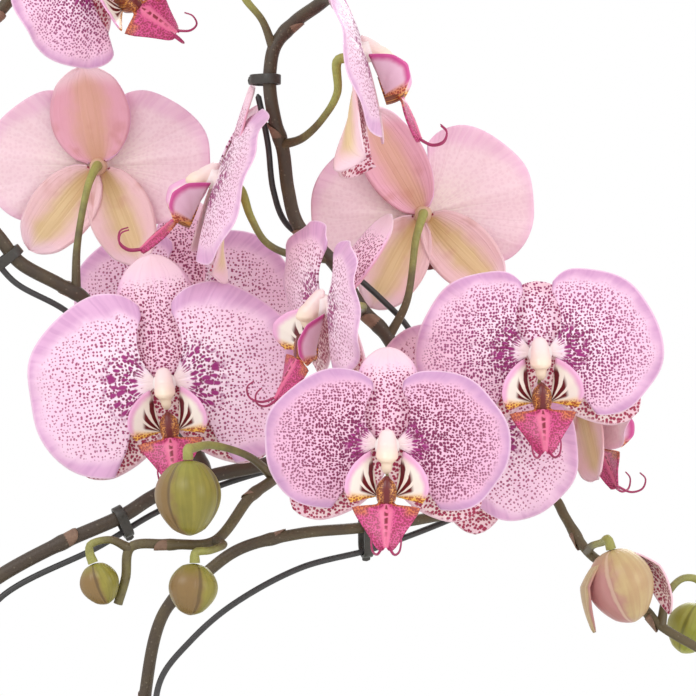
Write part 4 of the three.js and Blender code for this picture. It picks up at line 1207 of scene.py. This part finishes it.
# %% [markdown]
# The routes of the stems repeat the solids' points. A stalk starts inside its stem, at the nearest
# place on it, and meets its flower square on from behind. Each node of a stem is a slight swelling.
# %% Stem routes
RIGHT_SPIKE = [
    (0, -3, 142), (7, -9, 160), (17, -9, 210), (24, -4, 275), (26, 0, 330), (34, 0, 364), (50, -3, 379),
    (64, -4, 389), (88, 0, 395), (112, 6, 397), (136, 14, 400), (161, 22, 405), (181, 24, 411),
    (191, 21, 408), (195, 18, 401), (204, 12, 387), (217, 6, 377), (230, 0, 360), (246, -5, 350),
    (261, -8, 342)]
LEFT_SPIKE = [
    (0, -3, 152), (-8, -9, 168), (-33, -14, 215), (-55, -11, 270), (-61, -8, 325), (-50, -6, 364),
    (-32, -5, 378), (-8, -2, 391), (17, 3, 402), (30, 7, 410), (50, 12, 417), (73, 14, 422),
    (100, 18, 428), (124, 23, 444), (129, 24, 460), (123, 23, 474), (113, 22, 485), (102, 22, 503),
    (87, 21, 519), (83, 16, 533), (81, 9, 549), (78, 3, 560), (76, 0, 572), (76, 0, 580), (78, 0, 590),
    (86, 4, 600), (96, 11, 608), (104, 16, 616), (108, 17, 626), (110, 17, 640)]
LEFT_BRANCH = [
    (50, 12, 418), (43, 20, 432), (31, 28, 448), (14, 31, 468), (0, 26, 489), (-10, 24, 495),
    (-26, 20, 504), (-34, 18, 514), (-49, 14, 533), (-56, 10, 561), (-48, 8, 588), (-33, 11, 605),
    (-20, 16, 622), (-11, 24, 636)]
BUD_BRANCH = [
    (84, 16, 424), (83, -4, 421), (76, -22, 416), (69, -31, 411), (55, -43, 394), (40, -46, 393),
    (23, -47, 392), (21, -47, 380), (18, -46, 370)]
FLOWER_STALKS = {
    "a": [(37, 24, 441), (35, 12, 453)],
    "b": [(113, 22, 485), (113, -4, 486)],
    "c": [(124, 10, 398), (124, -12, 402), (123, -52, 425)],
    "d": [(182, 24, 411), (184, 27, 434), (184, 20, 458), (182, -8, 469)],
    "e": [(-3, 25, 491), (-3, 25, 510), (1, 31, 535)],
    "f": [(125, 22, 474), (131, 24, 488), (135, 29, 514)],
    "g": [(99, 22, 505), (84, 18, 507), (74, 13, 512), (68, 11, 522)],
    "h": [(84, 2, 549), (89, -3, 553), (97, -13, 560), (103, -22, 570)],
    "i": [(-20, 16, 622), (-8, 18, 622)],
    "j": [(188, 22, 408), (189, 18, 424), (196, 20, 441)],
    "k": [(157, 21, 404), (157, 23, 420), (157, 14, 435)],
    "l": [(26, 28, 453), (28, 42, 450), (33, 84, 438), (37, 116, 452), (38, 119, 478)]}
BUD_STALKS = {
    "large": [(78, -18, 417), (68, -33, 427), (54, -45, 431.5), (47, -54, 430.5)],
    "middle": [(55, -43, 394), (59, -48, 393), (54, -52, 391)],
    "small": [(22, -47, 392), (15, -49, 395), (7.5, -50, 393)],
    "opening": [(203, 12, 386), (205, 2, 390), (208.5, -9, 392)],
    "edge": [(233, -1, 358), (235, 3, 370), (242, 9, 376.5), (248.5, 12, 375.5)],
    "end_right": [(259, -8, 343)],
    "upper": [(78, 0, 589), (73, -2, 600), (66, -5, 609)],
    "end_upper": [(108, 17, 636)],
    "end_left": [(-12, 23, 634)]}
print("points along the spikes:", len(RIGHT_SPIKE), len(LEFT_SPIKE))


# %% Stems
NODE_SPACING, FIRST_NODE = 46, 18
STEM_STEP = 1.6


def facing(spec):
    t, e = math.radians(spec["turn"]), math.radians(spec.get("lift", 0))
    return np.array([math.sin(t) * math.cos(e), -math.cos(t) * math.cos(e), math.sin(e)])


def stem_line(points, first, last, youth):
    line = route(points, STEM_STEP)
    share = np.linspace(0, 1, len(line))
    length = share * len(line) * STEM_STEP
    swelling = 0.4 * np.exp(-((((length + FIRST_NODE) % NODE_SPACING) - NODE_SPACING / 2) / 2.6) ** 2)
    return line, first + (last - first) * share + swelling, youth[0] + (youth[1] - youth[0]) * share


def stalk_line(points, direction, finish, stems):
    first = np.array(points[0], float)
    spots = [line[np.argmin(np.linalg.norm(line - first, axis=1))] for line in stems]
    root = min(spots, key=lambda spot: np.linalg.norm(spot - first))
    line = route([root, *points[1:], finish - 4 * direction, finish], 1.2)
    share = np.linspace(0, 1, len(line))
    return line, 1.8 * (1.15 - 0.35 * np.sin(math.pi * share)), 0.25 + 0.75 * share


def grow_spike(name, stems, letters, buds, node):
    lines = [stem_line(*stem) for stem in stems]
    middles = [line for line, _, _ in lines]
    for letter in letters:
        spec = BLOOMS[letter]
        out = facing(spec)
        lines.append(stalk_line(FLOWER_STALKS[letter], out, np.array(spec["at"]) - 5.3 * out, middles))
    for bud_name in buds:
        spec = BUDS[bud_name]
        out = np.array(spec["tip"], float) / np.linalg.norm(spec["tip"])
        end_place = np.array(spec["at"]) - (spec["length"] / 2 + 0.3) * out
        lines.append(stalk_line(BUD_STALKS[bud_name], out, end_place, middles))
    host = chain_mesh(*zip(*lines))
    mesh = grow(name, host, TUBE, {"Sides": 18, "Finish": STEM_FINISH})
    settle(name, mesh, [node])
    return middles


right_middles = grow_spike(
    "flower_spike_right", [(RIGHT_SPIKE, 3.0, 1.8, (0.0, 0.4))],
    "cdjk", ["opening", "edge", "end_right"], "spike_right")
left_middles = grow_spike(
    "flower_spike_left",
    [(LEFT_SPIKE, 3.0, 2.7, (0.0, 0.12)), (LEFT_BRANCH, 3.0, 2.5, (0.05, 0.25)),
     (BUD_BRANCH, 2.4, 1.8, (0.2, 0.5))],
    "abefghil", ["large", "middle", "small", "upper", "end_upper", "end_left"], "spike_left")
print("stems and their lengths in mm:",
      [round(len(m) * STEM_STEP) for m in right_middles + left_middles])

# %% [markdown]
# At each node of a stem sits a bract, a dry little scale that hugs it. One bract is modelled and
# Geometry Nodes set a copy on each node, turned along the stem. Copying by hand would also work, but
# the tree keeps them where the nodes are if the spacing changes.
# %% One bract, and a tree that copies it
def bract_mesh():
    u, v = np.meshgrid(np.linspace(0, 1, 9), np.linspace(-1, 1, 11), indexing="ij")
    turn = v * 2.0 * np.sqrt(1 - 0.96 * u**1.6)
    outer, inner = (np.stack([radius * np.cos(turn), radius * np.sin(turn), 8.0 * u - 2], axis=-1)
                    for radius in (2.95 + 0.5 * u, 2.6 + 0.5 * u))
    points = np.concatenate([outer, inner[:, ::-1]], axis=1)
    rows, columns = points.shape[:2]
    j = np.arange(columns // 2 - 1)
    foot = np.stack([j, j + 1, columns - 2 - j, columns - 1 - j], axis=1)
    tip = foot[:, ::-1] + (rows - 1) * columns
    faces = np.concatenate([ring_faces(rows, columns), foot, tip])[:, ::-1]
    return plain_mesh("bract", points, faces.tolist())


COPIES = make_tree(
    "copies_on_points", {"Points": "Geometry", "Copy": "Object", "Finish": "Material"}, "Copies", {
        "source": ("GeometryNodeObjectInfo", {}, {}),
        "turn": ("GeometryNodeInputNamedAttribute", {"data_type": "FLOAT_VECTOR"}, {"Name": "turn"}),
        "size": ("GeometryNodeInputNamedAttribute", {}, {"Name": "size"}),
        "copy": ("GeometryNodeInstanceOnPoints", {}, {}),
        "realize": ("GeometryNodeRealizeInstances", {}, {}),
        "smooth": ("GeometryNodeSetShadeSmooth", {}, {}),
        "dress": ("GeometryNodeSetMaterial", {}, {})},
    "start.Points > copy.Points, start.Copy > source.Object, source.Geometry > copy.Instance, "
    "turn.Attribute > copy.Rotation, size.Attribute > copy.Scale, copy.Instances > realize.Geometry, "
    "realize.Geometry > smooth.Geometry, smooth.Geometry > dress.Geometry, "
    "start.Finish > dress.Material, dress.Geometry > finish.Copies")


print("tree:", COPIES.name, "inputs:",
      [s.name for s in COPIES.interface.items_tree if s.in_out == "INPUT"])


# %% Bracts on the stems
def turned_along(direction, spin):
    """Angles that turn +Z along a direction, after a spin about it"""
    x, y, z = direction
    tilt = math.acos(max(-1, min(1, z)))
    heading = math.atan2(y, x)
    whole = turned_z(math.degrees(heading)) @ np.array(
        [[math.cos(tilt), 0, math.sin(tilt)], [0, 1, 0], [-math.sin(tilt), 0, math.cos(tilt)]]
    ) @ turned_z(spin)
    return (math.atan2(whole[2, 1], whole[2, 2]), math.asin(-max(-1, min(1, whole[2, 0]))),
            math.atan2(whole[1, 0], whole[0, 0]))


def point_mesh(places, turns, sizes):
    mesh = plain_mesh("places", places)
    layer = mesh.attributes.new("turn", "FLOAT_VECTOR", "POINT")
    layer.data.foreach_set("vector", np.array(turns, np.float32).ravel())
    layer = mesh.attributes.new("size", "FLOAT", "POINT")
    layer.data.foreach_set("value", np.array(sizes, np.float32))
    return mesh


LOWEST_BRACT = 180


def grow_bracts(name, middles, thicknesses, luck):
    places, turns, sizes = [], [], []
    for line, thick in zip(middles, thicknesses):
        for distance in np.arange(
                NODE_SPACING / 2 - FIRST_NODE, len(line) * STEM_STEP - 14, NODE_SPACING):
            i = max(2, round(distance / STEM_STEP))
            if line[i, 2] < LOWEST_BRACT:
                continue
            along = line[i + 2] - line[i - 2]
            places.append(line[i])
            turns.append(turned_along(along / np.linalg.norm(along), luck.uniform(0, 360)))
            sizes.append(thick / 2.8)
    source = bpy.data.objects.new("bract_source", bract_mesh())
    mesh = grow(
        name, point_mesh(places, turns, sizes), COPIES, {"Copy": source, "Finish": BRACT_FINISH})
    bpy.data.objects.remove(source)
    settle(name, mesh, [])
    return len(places)


BRACT_FINISH = grainy_finish("dry_bract", 600.0, 1.8, (116, 88, 72), (142, 112, 92), 0.2, 0.65)
print("bracts:", grow_bracts("bracts_right", right_middles, [2.4], np.random.default_rng(5)),
      grow_bracts("bracts_left", left_middles, [2.8, 2.8, 2.1], np.random.default_rng(6)))

# %% [markdown]
# ## Wires and clips
# The stems are tied to bent wires, covered in dark grey plastic, by small ring clips with a pinch tab.
# The wires are tubes again. A clip is a band: rings of a small rounded section, set round a long oval
# path.
# %% Wires
WIRE_FINISH = grainy_finish("coated_wire", 700.0, 1.6, (46, 44, 44), (68, 66, 66), 0.08, (0.35, 0.5))
CLIP_FINISH = grainy_finish("clip_plastic", 800.0, 1.4, (48, 44, 40), (66, 62, 56), 0.05, (0.38, 0.5))
RIGHT_WIRE = [
    (26, -26, 70), (26, -26, 100), (26, -26, 130), (28, -22, 200), (30, -14, 270), (30, -8, 322),
    (33, -6, 338), (44, -6, 352), (60, -4, 366), (88, 3, 381), (116, 10, 388), (134, 17, 394),
    (150, 24, 400)]
LEFT_WIRE = [
    (-18, -28, 70), (-18, -28, 100), (-18, -28, 130), (-26, -27, 190), (-42, -21, 250), (-49, -14, 312),
    (-44, -7, 348), (-32, -5, 369), (8, 1, 390), (30, 10, 403), (54, 18, 413), (73, 20, 419),
    (100, 25, 425), (128, 31, 438), (138, 34, 460), (132, 32, 477), (121, 30, 489), (106, 29, 502),
    (94, 28, 511), (82, 26, 520), (77, 19, 533), (75, 11, 551), (73, 6, 562), (71, 3, 571)]
BRANCH_WIRE = [
    (40, 19, 424), (33, 26, 433), (24, 31, 443), (9, 34, 463), (-6, 26, 483), (-28, 20, 496),
    (-38, 17, 508), (-47, 14, 519)]
WIRE_RADIUS, WIRE_STEP = 1.25, 1.2


def round_ends(line, radius):
    """Full thickness along a wire, drawn in at its two ends"""
    length = np.linspace(0, len(line) * WIRE_STEP, len(line))
    near = np.minimum(length, length[-1] - length) / radius
    return radius * np.sqrt(np.clip(1 - np.clip(1 - near, 0, 0.96) ** 2, 0, 1))


for name, points in (("right", RIGHT_WIRE), ("left", LEFT_WIRE), ("branch", BRANCH_WIRE)):
    line = route(points, WIRE_STEP)
    host = chain_mesh([line], [round_ends(line, WIRE_RADIUS)], [np.zeros(len(line))])
    settle(f"bent_wire_{name}",
           grow(f"bent_wire_{name}", host, TUBE, {"Sides": 14, "Finish": WIRE_FINISH}),
           [f"stake_{name}"])
print("wires: 3")


# %% Ring clips
CLIP_RADIUS = 3.4
CLIP_HEIGHT = 4.0
CLIP_WALL = 1.2
CLIP_ROUNDING = 0.3


def clip_section():
    """The clip's wall, cut across: how far outside its inner face and how high each point lies"""
    wide, high = CLIP_WALL - CLIP_ROUNDING, CLIP_HEIGHT / 2 - CLIP_ROUNDING
    section = []
    corners = [
        (wide, high, 0), (CLIP_ROUNDING, high, 90), (CLIP_ROUNDING, -high, 180), (wide, -high, 270)]
    for x, z, first in corners:
        for bend in (0, 45, 90):
            turn = math.radians(first + bend)
            section.append((x + CLIP_ROUNDING * math.cos(turn), z + CLIP_ROUNDING * math.sin(turn)))
    return np.array(section)


def add_clip(name, stem_points, wire_points, share):
    stem, wire = route(stem_points, 0.8), route(wire_points, 0.8)
    i = round(share * (len(stem) - 1))
    place = stem[i]
    ahead = stem[i + 1] - stem[i - 1]
    ahead /= np.linalg.norm(ahead)
    away = wire[np.argmin(np.linalg.norm(wire - place, axis=1))] - place
    away -= ahead * (away @ ahead)
    reach = np.linalg.norm(away) - (CLIP_RADIUS - WIRE_RADIUS - 0.6)
    across = away / np.linalg.norm(away)
    other = np.cross(ahead, across)
    section = clip_section()
    radial = CLIP_RADIUS + section[:, :1]
    bends = np.linspace(-math.pi / 2, math.pi / 2, 17)
    rows = []
    for x, turn in [(reach, bend) for bend in bends] + [(0, bend + math.pi) for bend in bends]:
        rows.append(place + (x + math.cos(turn) * radial) * across + math.sin(turn) * radial * other
                    + section[:, 1:] * ahead)
    count = len(section)
    band = ring_faces(len(rows) + 1, count) % (len(rows) * count)
    shares = np.stack(np.meshgrid(
        np.linspace(0, 1, len(rows)), np.linspace(0, 1, count), indexing="ij"), -1)
    skin = Skin()
    skin.add(rows, band, 0, shares, shares)
    turn = full_turn(16)
    tab = []
    for step in np.linspace(0, 1, 7):
        width = 1.7 * math.sqrt(max(0.02, 1 - max(0, (step - 0.7) / 0.3) ** 2))
        flat = squarish(np.cos(turn), 0.5) * width
        thin = squarish(np.sin(turn), 0.5) * 0.55
        foot = place + (reach + 4.3 + 1.9 * step) * across
        tab.append(foot + flat[:, None] * ahead + thin[:, None] * other)
    solid_of_rings(skin, tab, 0)
    skin.piece(f"ring_clip_{name}", [CLIP_FINISH], [f"clip_{name}"], "clip")


CLIPS = [
    ("right", RIGHT_SPIKE, RIGHT_WIRE, 0.634), ("left", LEFT_SPIKE, LEFT_WIRE, 0.464),
    ("upper", LEFT_SPIKE, LEFT_WIRE, 0.88), ("branch", LEFT_BRANCH, BRANCH_WIRE, 0.45),
    ("fork", LEFT_BRANCH, BRANCH_WIRE, 0.05)]
for clip in CLIPS:
    add_clip(*clip)
print("clips:", len(CLIPS))

# %% [markdown]
# ## Leaves, crown and roots
# The photograph shows none of these, so they are finished as a healthy plant has them: thick strap
# leaves, glossy and dark above and paler below, with a sunken midrib and faint lengthwise veins.
# Displacement would give the midrib too, but it is part of the formula here, so the outline follows it.
# %% Leaf finish
def leaf_finish(name, deep, light, vein_shade, gloss):
    paint = Finish(name)
    out, turn = paint.share()
    cloud, fine = paint.grain(40.0, 1.2), paint.grain(1400.0, 1.2)
    veins = paint.use(VEINS, out, turn, 60.0, 0.1)
    sideways = abs(turn - 0.5)
    paint.base(cloud, deep, light)
    paint.coat(veins * 0.25, vein_shade)
    paint.coat(sideways.rise(0.03, 0.005) * 0.6, vein_shade)
    paint.coat(sideways.rise(0.465, 0.5) * 0.5, (120, 96, 84))
    rough = fine.rise(0.2, 0.8, gloss - 0.05, gloss + 0.06)
    return paint.end(veins * 0.7 + fine * 0.3, 0.12, rough, Coat_Weight=0.12)


LEAF_FINISHES = [
    leaf_finish("leaf_top", (52, 92, 42), (74, 118, 56), (104, 146, 80), 0.34),
    leaf_finish("leaf_under", (98, 118, 72), (118, 136, 84), (140, 132, 96), 0.45)]
print("finishes:", [m.name for m in LEAF_FINISHES])


# %% Leaves
LEAF_THICKNESS = 2.2
LEAVES = [
    dict(heading=12, length=235, width=84, rise=50, droop=74, foot=122),
    dict(heading=168, length=225, width=82, rise=66, droop=66, foot=131),
    dict(heading=46, length=195, width=76, rise=96, droop=44, foot=142),
    dict(heading=131, length=180, width=72, rise=112, droop=36, foot=151),
    dict(heading=88, length=120, width=56, rise=104, droop=8, foot=162)]


def crown_radius(z):
    return 10 * (1 - 0.45 * ((z - 92) / 84) ** 2)


def add_leaf(order, heading, length, width, rise, droop, foot):
    axes = axes_at(heading)
    seat = (crown_radius(foot)
            + LEAF_THICKNESS / 2 * math.sin(math.atan2(rise * math.pi * 0.62, length)) + 0.3)

    def surface(u, v):
        grown = np.minimum(1, u / 0.5)
        rounded = np.sqrt(np.maximum(0.0008, 1 - np.maximum(0, (u - 0.55) / 0.45) ** 2.4))
        half_width = (9 + (width / 2 - 9) * grown * grown * (3 - 2 * grown)) * rounded
        reach = seat + length * (u - 0.12 * u * u)
        lift = foot + rise * np.sin(math.pi * 0.62 * u) - droop * u * u + 0.16 * half_width * v * v
        lift = lift - (1.1 * np.exp(-((v / 0.05) ** 2)) * np.minimum(1, (1 - u) * 6)
                       * np.minimum(1, u * 8))
        lift = lift + 0.9 * np.sin(9 * u + 2 * v) * v * v * u
        return along_axes(axes, reach, v * half_width, lift)

    middle = np.sort(np.concatenate([stops(-1, 1, 31), [-0.05, -0.025, 0.025, 0.05]]))
    skin = Skin()
    blade(skin, surface, stops(0, 1, 60, 0.4), middle, LEAF_THICKNESS, 0, 1,
          lambda place: place @ np.transpose(axes) / 10)
    skin.piece(f"strap_leaf_{order}", LEAF_FINISHES, [f"leaf_{order}"], "leaf")


for order, spec in enumerate(LEAVES, 1):
    add_leaf(order, **spec)
print("leaves:", len(LEAVES))

# %% [markdown]
# The crown is the short stem that leaves and spikes grow from, wrapped in the dry feet of old leaves.
# Its rings step in and out like those wrappings. The roots are thick and silvery, with greener tips.
# %% Crown
def crown_finish():
    paint = Finish("crown_sheath")
    cloud = paint.grain(90.0, 1.5)
    along, around = paint.share()
    veins = paint.use(VEINS, along, around, 50.0, 0.2)
    paint.base(cloud, (112, 132, 72), (136, 140, 84))
    paint.coat(veins * 0.45, (150, 130, 92))
    paint.coat(along.rise(0.4, 0.2), (126, 100, 68))
    return paint.end(veins, 0.2, 0.6)


def add_crown():
    skin = Skin()
    turn = full_turn(48)
    rings = []
    for z in np.concatenate([[92.0, 92.3], np.linspace(93, 175, 83), [175.7, 176.0]]):
        step = 0.5 * ((z - 92) % 14) / 14 - 0.5
        close = math.sqrt(max(0.05, 1 - max(0, (z - 172) / 4) ** 2 - max(0, (93 - z)) ** 2 * 0.3))
        rings.append(ring(turn, (crown_radius(z) + step + 0.12 * np.cos(9 * turn)) * close, z))
    solid_of_rings(skin, rings, 0)
    return skin.piece("crown_stem", [crown_finish()], ["crown"], "crown")


print("crown faces:", len(add_crown().data.polygons))


# %% Aerial roots
def root_finish():
    paint = Finish("root_skin")
    cloud, fine = paint.grain(160.0, 1.6), paint.grain(1100.0, 1.5)
    paint.base(cloud, (150, 156, 136), (186, 188, 170))
    paint.coat(paint.youth().rise(0.86, 1.0), (110, 132, 70))
    paint.coat(fine * 0.3, (120, 118, 96))
    return paint.end(cloud * 0.5 + fine * 0.5, 0.3, 0.8)


ROOTS = [
    [(0, -12, 116), (12, -32, 120), (30, -46, 127), (38, -54, 130), (45, -62, 128), (49, -65, 112),
     (48, -63, 84)],
    [(-8, -9, 116), (-30, -20, 120), (-46, -28, 126), (-58, -36, 130), (-66, -41, 126),
     (-68, -44, 108)],
    [(10, 8, 116), (32, 22, 120), (48, 30, 127), (58, 36, 130), (66, 41, 127), (69, 44, 108),
     (67, 43, 92)],
    [(-6, 11, 116), (-20, 34, 119), (-27, 50, 121)]]


def grow_roots():
    luck = np.random.default_rng(7)
    lines, radii, ages = [], [], []
    for points in ROOTS:
        line = route(points, 1.5)
        share = np.linspace(0, 1, len(line))
        knobs = 1 + 0.05 * np.sin(share * luck.uniform(20, 30) + luck.uniform(0, 6))
        tip = np.sqrt(np.clip(1 - np.clip((share - 0.95) / 0.05, 0, 0.97) ** 2, 0, 1))
        lines.append(line)
        radii.append(2.6 * (1 - 0.3 * share) * knobs * tip)
        ages.append(share)
    turn = np.linspace(0, 2 * math.pi, 60)
    collar = np.stack([12.4 * np.cos(turn), 12.4 * np.sin(turn), 116 + 0.4 * np.sin(3 * turn)], axis=1)
    lines.append(collar)
    radii.append(2.1 + 0.25 * np.sin(5 * turn))
    ages.append(np.zeros(60))
    mesh = grow(
        "roots_in_air", chain_mesh(lines, radii, ages), TUBE, {"Sides": 20, "Finish": root_finish()})
    return settle("roots_in_air", mesh, ["aerial_roots"])


print("root faces:", len(grow_roots().data.polygons))

# %% [markdown]
# ## Bark and pot
# The pot is filled with coarse bark chips. One heap below and a few hundred chips on top would be long
# work by hand: Geometry Nodes scatter points over the heap with a fixed seed and set a chip on each,
# turned and sized at random. The chips are few-sided, because there are many.
# %% Bark finish
def bark_finish():
    paint = Finish("bark_chip")
    cloud, fibre = paint.grain(75.0, 2.2), paint.grain(520.0, 2.0)
    paint.base(cloud, (74, 46, 30), (150, 104, 70))
    paint.coat(fibre * 0.5, (60, 40, 30))
    return paint.end(fibre, 0.6, 0.9)


def chip_mesh():
    luck = np.random.default_rng(12)
    turn = full_turn(8)
    rings = []
    for z, wide in ((-1, 0.82), (-0.5, 1.0), (0.5, 0.97), (1, 0.8)):
        x = wide * squarish(np.cos(turn), 0.6) + luck.uniform(-0.08, 0.08, 8)
        y = wide * squarish(np.sin(turn), 0.6) + luck.uniform(-0.08, 0.08, 8)
        rings.append(np.stack([7.5 * x, 4.8 * y, 2.4 * z + luck.uniform(-0.4, 0.4, 8)], axis=-1))
    return plain_mesh(
        "chip", rings,
        ring_faces(4, 8)[:, ::-1].tolist() + [list(range(7, -1, -1)), list(range(24, 32))])


BARK_TREE = make_tree(
    "chips_on_heap",
    {"Heap": "Geometry", "Chip": "Object", "Spacing": "Float", "Seed": "Int", "Finish": "Material"},
    "Chips", {
        "scatter": ("GeometryNodeDistributePointsOnFaces", {"distribute_method": "POISSON"},
            {"Density Max": 90000.0}),
        "place": ("GeometryNodeInputPosition", {}, {}),
        "height": ("ShaderNodeSeparateXYZ", {}, {}),
        "on_top": ("FunctionNodeCompare", {"operation": "GREATER_THAN"}, {1: 0.105}),
        "source": ("GeometryNodeObjectInfo", {}, {}),
        "turn": ("FunctionNodeRandomValue", {"data_type": "FLOAT_VECTOR"},
            {0: (-0.4, -0.4, 0), 1: (0.4, 0.4, 6.28)}),
        "size": ("FunctionNodeRandomValue", {}, {2: 0.55, 3: 1.1}),
        "copy": ("GeometryNodeInstanceOnPoints", {}, {}),
        "both": ("GeometryNodeJoinGeometry", {}, {}),
        "realize": ("GeometryNodeRealizeInstances", {}, {}),
        "dress": ("GeometryNodeSetMaterial", {}, {})},
    "place.Position > height.Vector, height.Z > on_top.0, on_top.Result > scatter.Selection, "
    "start.Heap > scatter.Mesh, start.Spacing > scatter.Distance Min, start.Seed > scatter.Seed, "
    "start.Seed > turn.Seed, start.Seed > size.Seed, start.Chip > source.Object, "
    "scatter.Points > copy.Points, source.Geometry > copy.Instance, turn.0 > copy.Rotation, "
    "size.1 > copy.Scale, "
    "start.Heap > both.Geometry, copy.Instances > both.Geometry, both.Geometry > realize.Geometry, "
    "realize.Geometry > dress.Geometry, start.Finish > dress.Material, dress.Geometry > finish.Chips")
print("tree:", BARK_TREE.name, "inputs:",
      [s.name for s in BARK_TREE.interface.items_tree if s.in_out == "INPUT"])


# %% The bark
HEAP_OUTLINE = [
    (0, 4.8), (45, 4.8), (45.3, 5.2), (60.6, 103.5), (60.0, 104.5), (52, 105.4), (40, 105.9),
    (26, 106.2), (16, 106.3), (12.0, 106.0), (11.2, 104), (11.0, 93), (0, 91.6)]


def heap_mesh():
    turn = full_turn(64)
    rings = [ring(turn, radius, z) for radius, z in HEAP_OUTLINE]
    mesh = plain_mesh("heap", rings, ring_faces(len(rings), 64)[:, ::-1].tolist())
    weld(mesh)
    return mesh


def grow_bark():
    source = bpy.data.objects.new("chip_source", chip_mesh())
    mesh = grow("bark_chips", heap_mesh(), BARK_TREE,
                {"Chip": source, "Spacing": 6.0 * MM, "Seed": 4, "Finish": bark_finish()})
    bpy.data.objects.remove(source)
    return settle("bark_chips", mesh, ["bark"])


print("bark faces:", len(grow_bark().data.polygons))

# %% [markdown]
# The pot is a plain glazed one, turned round its axis: the outline goes up the outside, over the
# rounded rim and down the inside. A Screw or Spin tool would do the same; rings written from the
# outline keep the poles closed.
# %% Pot
def pot_finish():
    paint = Finish("white_glaze")
    cloud, fine = paint.grain(18.0, 1.0), paint.grain(240.0, 1.0)
    paint.base(cloud, (236, 233, 226), (226, 222, 213))
    paint.coat(paint.place().parts()[2].rise(0.006, 0.001) * 0.6, (190, 178, 160))
    return paint.end(fine, 0.06, fine.rise(0.2, 0.8, 0.16, 0.26), Coat_Weight=0.4)


POT_OUTLINE = [
    (0, 0), (47, 0), (50, 3), (69, 111), (72, 113), (72, 124), (70, 125), (66.5, 125), (65.5, 123),
    (46.2, 4.5), (0, 4.5)]


def rounded_outline(corners, radius):
    """Replaces each inner corner of an outline by a small arc"""
    p = np.array(corners, float)
    result = [p[0]]
    for i in range(1, len(p) - 1):
        before, after = p[i - 1] - p[i], p[i + 1] - p[i]
        cut = min(radius, np.linalg.norm(before) * 0.45, np.linalg.norm(after) * 0.45)
        start = p[i] + before / np.linalg.norm(before) * cut
        stop = p[i] + after / np.linalg.norm(after) * cut
        for t in np.linspace(0, 1, 6):
            result.append((1 - t) ** 2 * start + 2 * t * (1 - t) * p[i] + t * t * stop)
    result.append(p[-1])
    return result


def add_pot():
    turn = full_turn(128)
    rings = [ring(turn, radius, z) for radius, z in rounded_outline(POT_OUTLINE, 1.6)]
    share = np.stack(np.meshgrid(
        np.linspace(0, 1, len(rings)), np.linspace(0, 1, 128), indexing="ij"), -1)
    skin = Skin()
    skin.add(rings, ring_faces(len(rings), 128)[:, ::-1], 0, share, share)
    return skin.piece("glazed_pot", [pot_finish()], ["pot"], "pot")


print("pot faces:", len(add_pot().data.polygons))
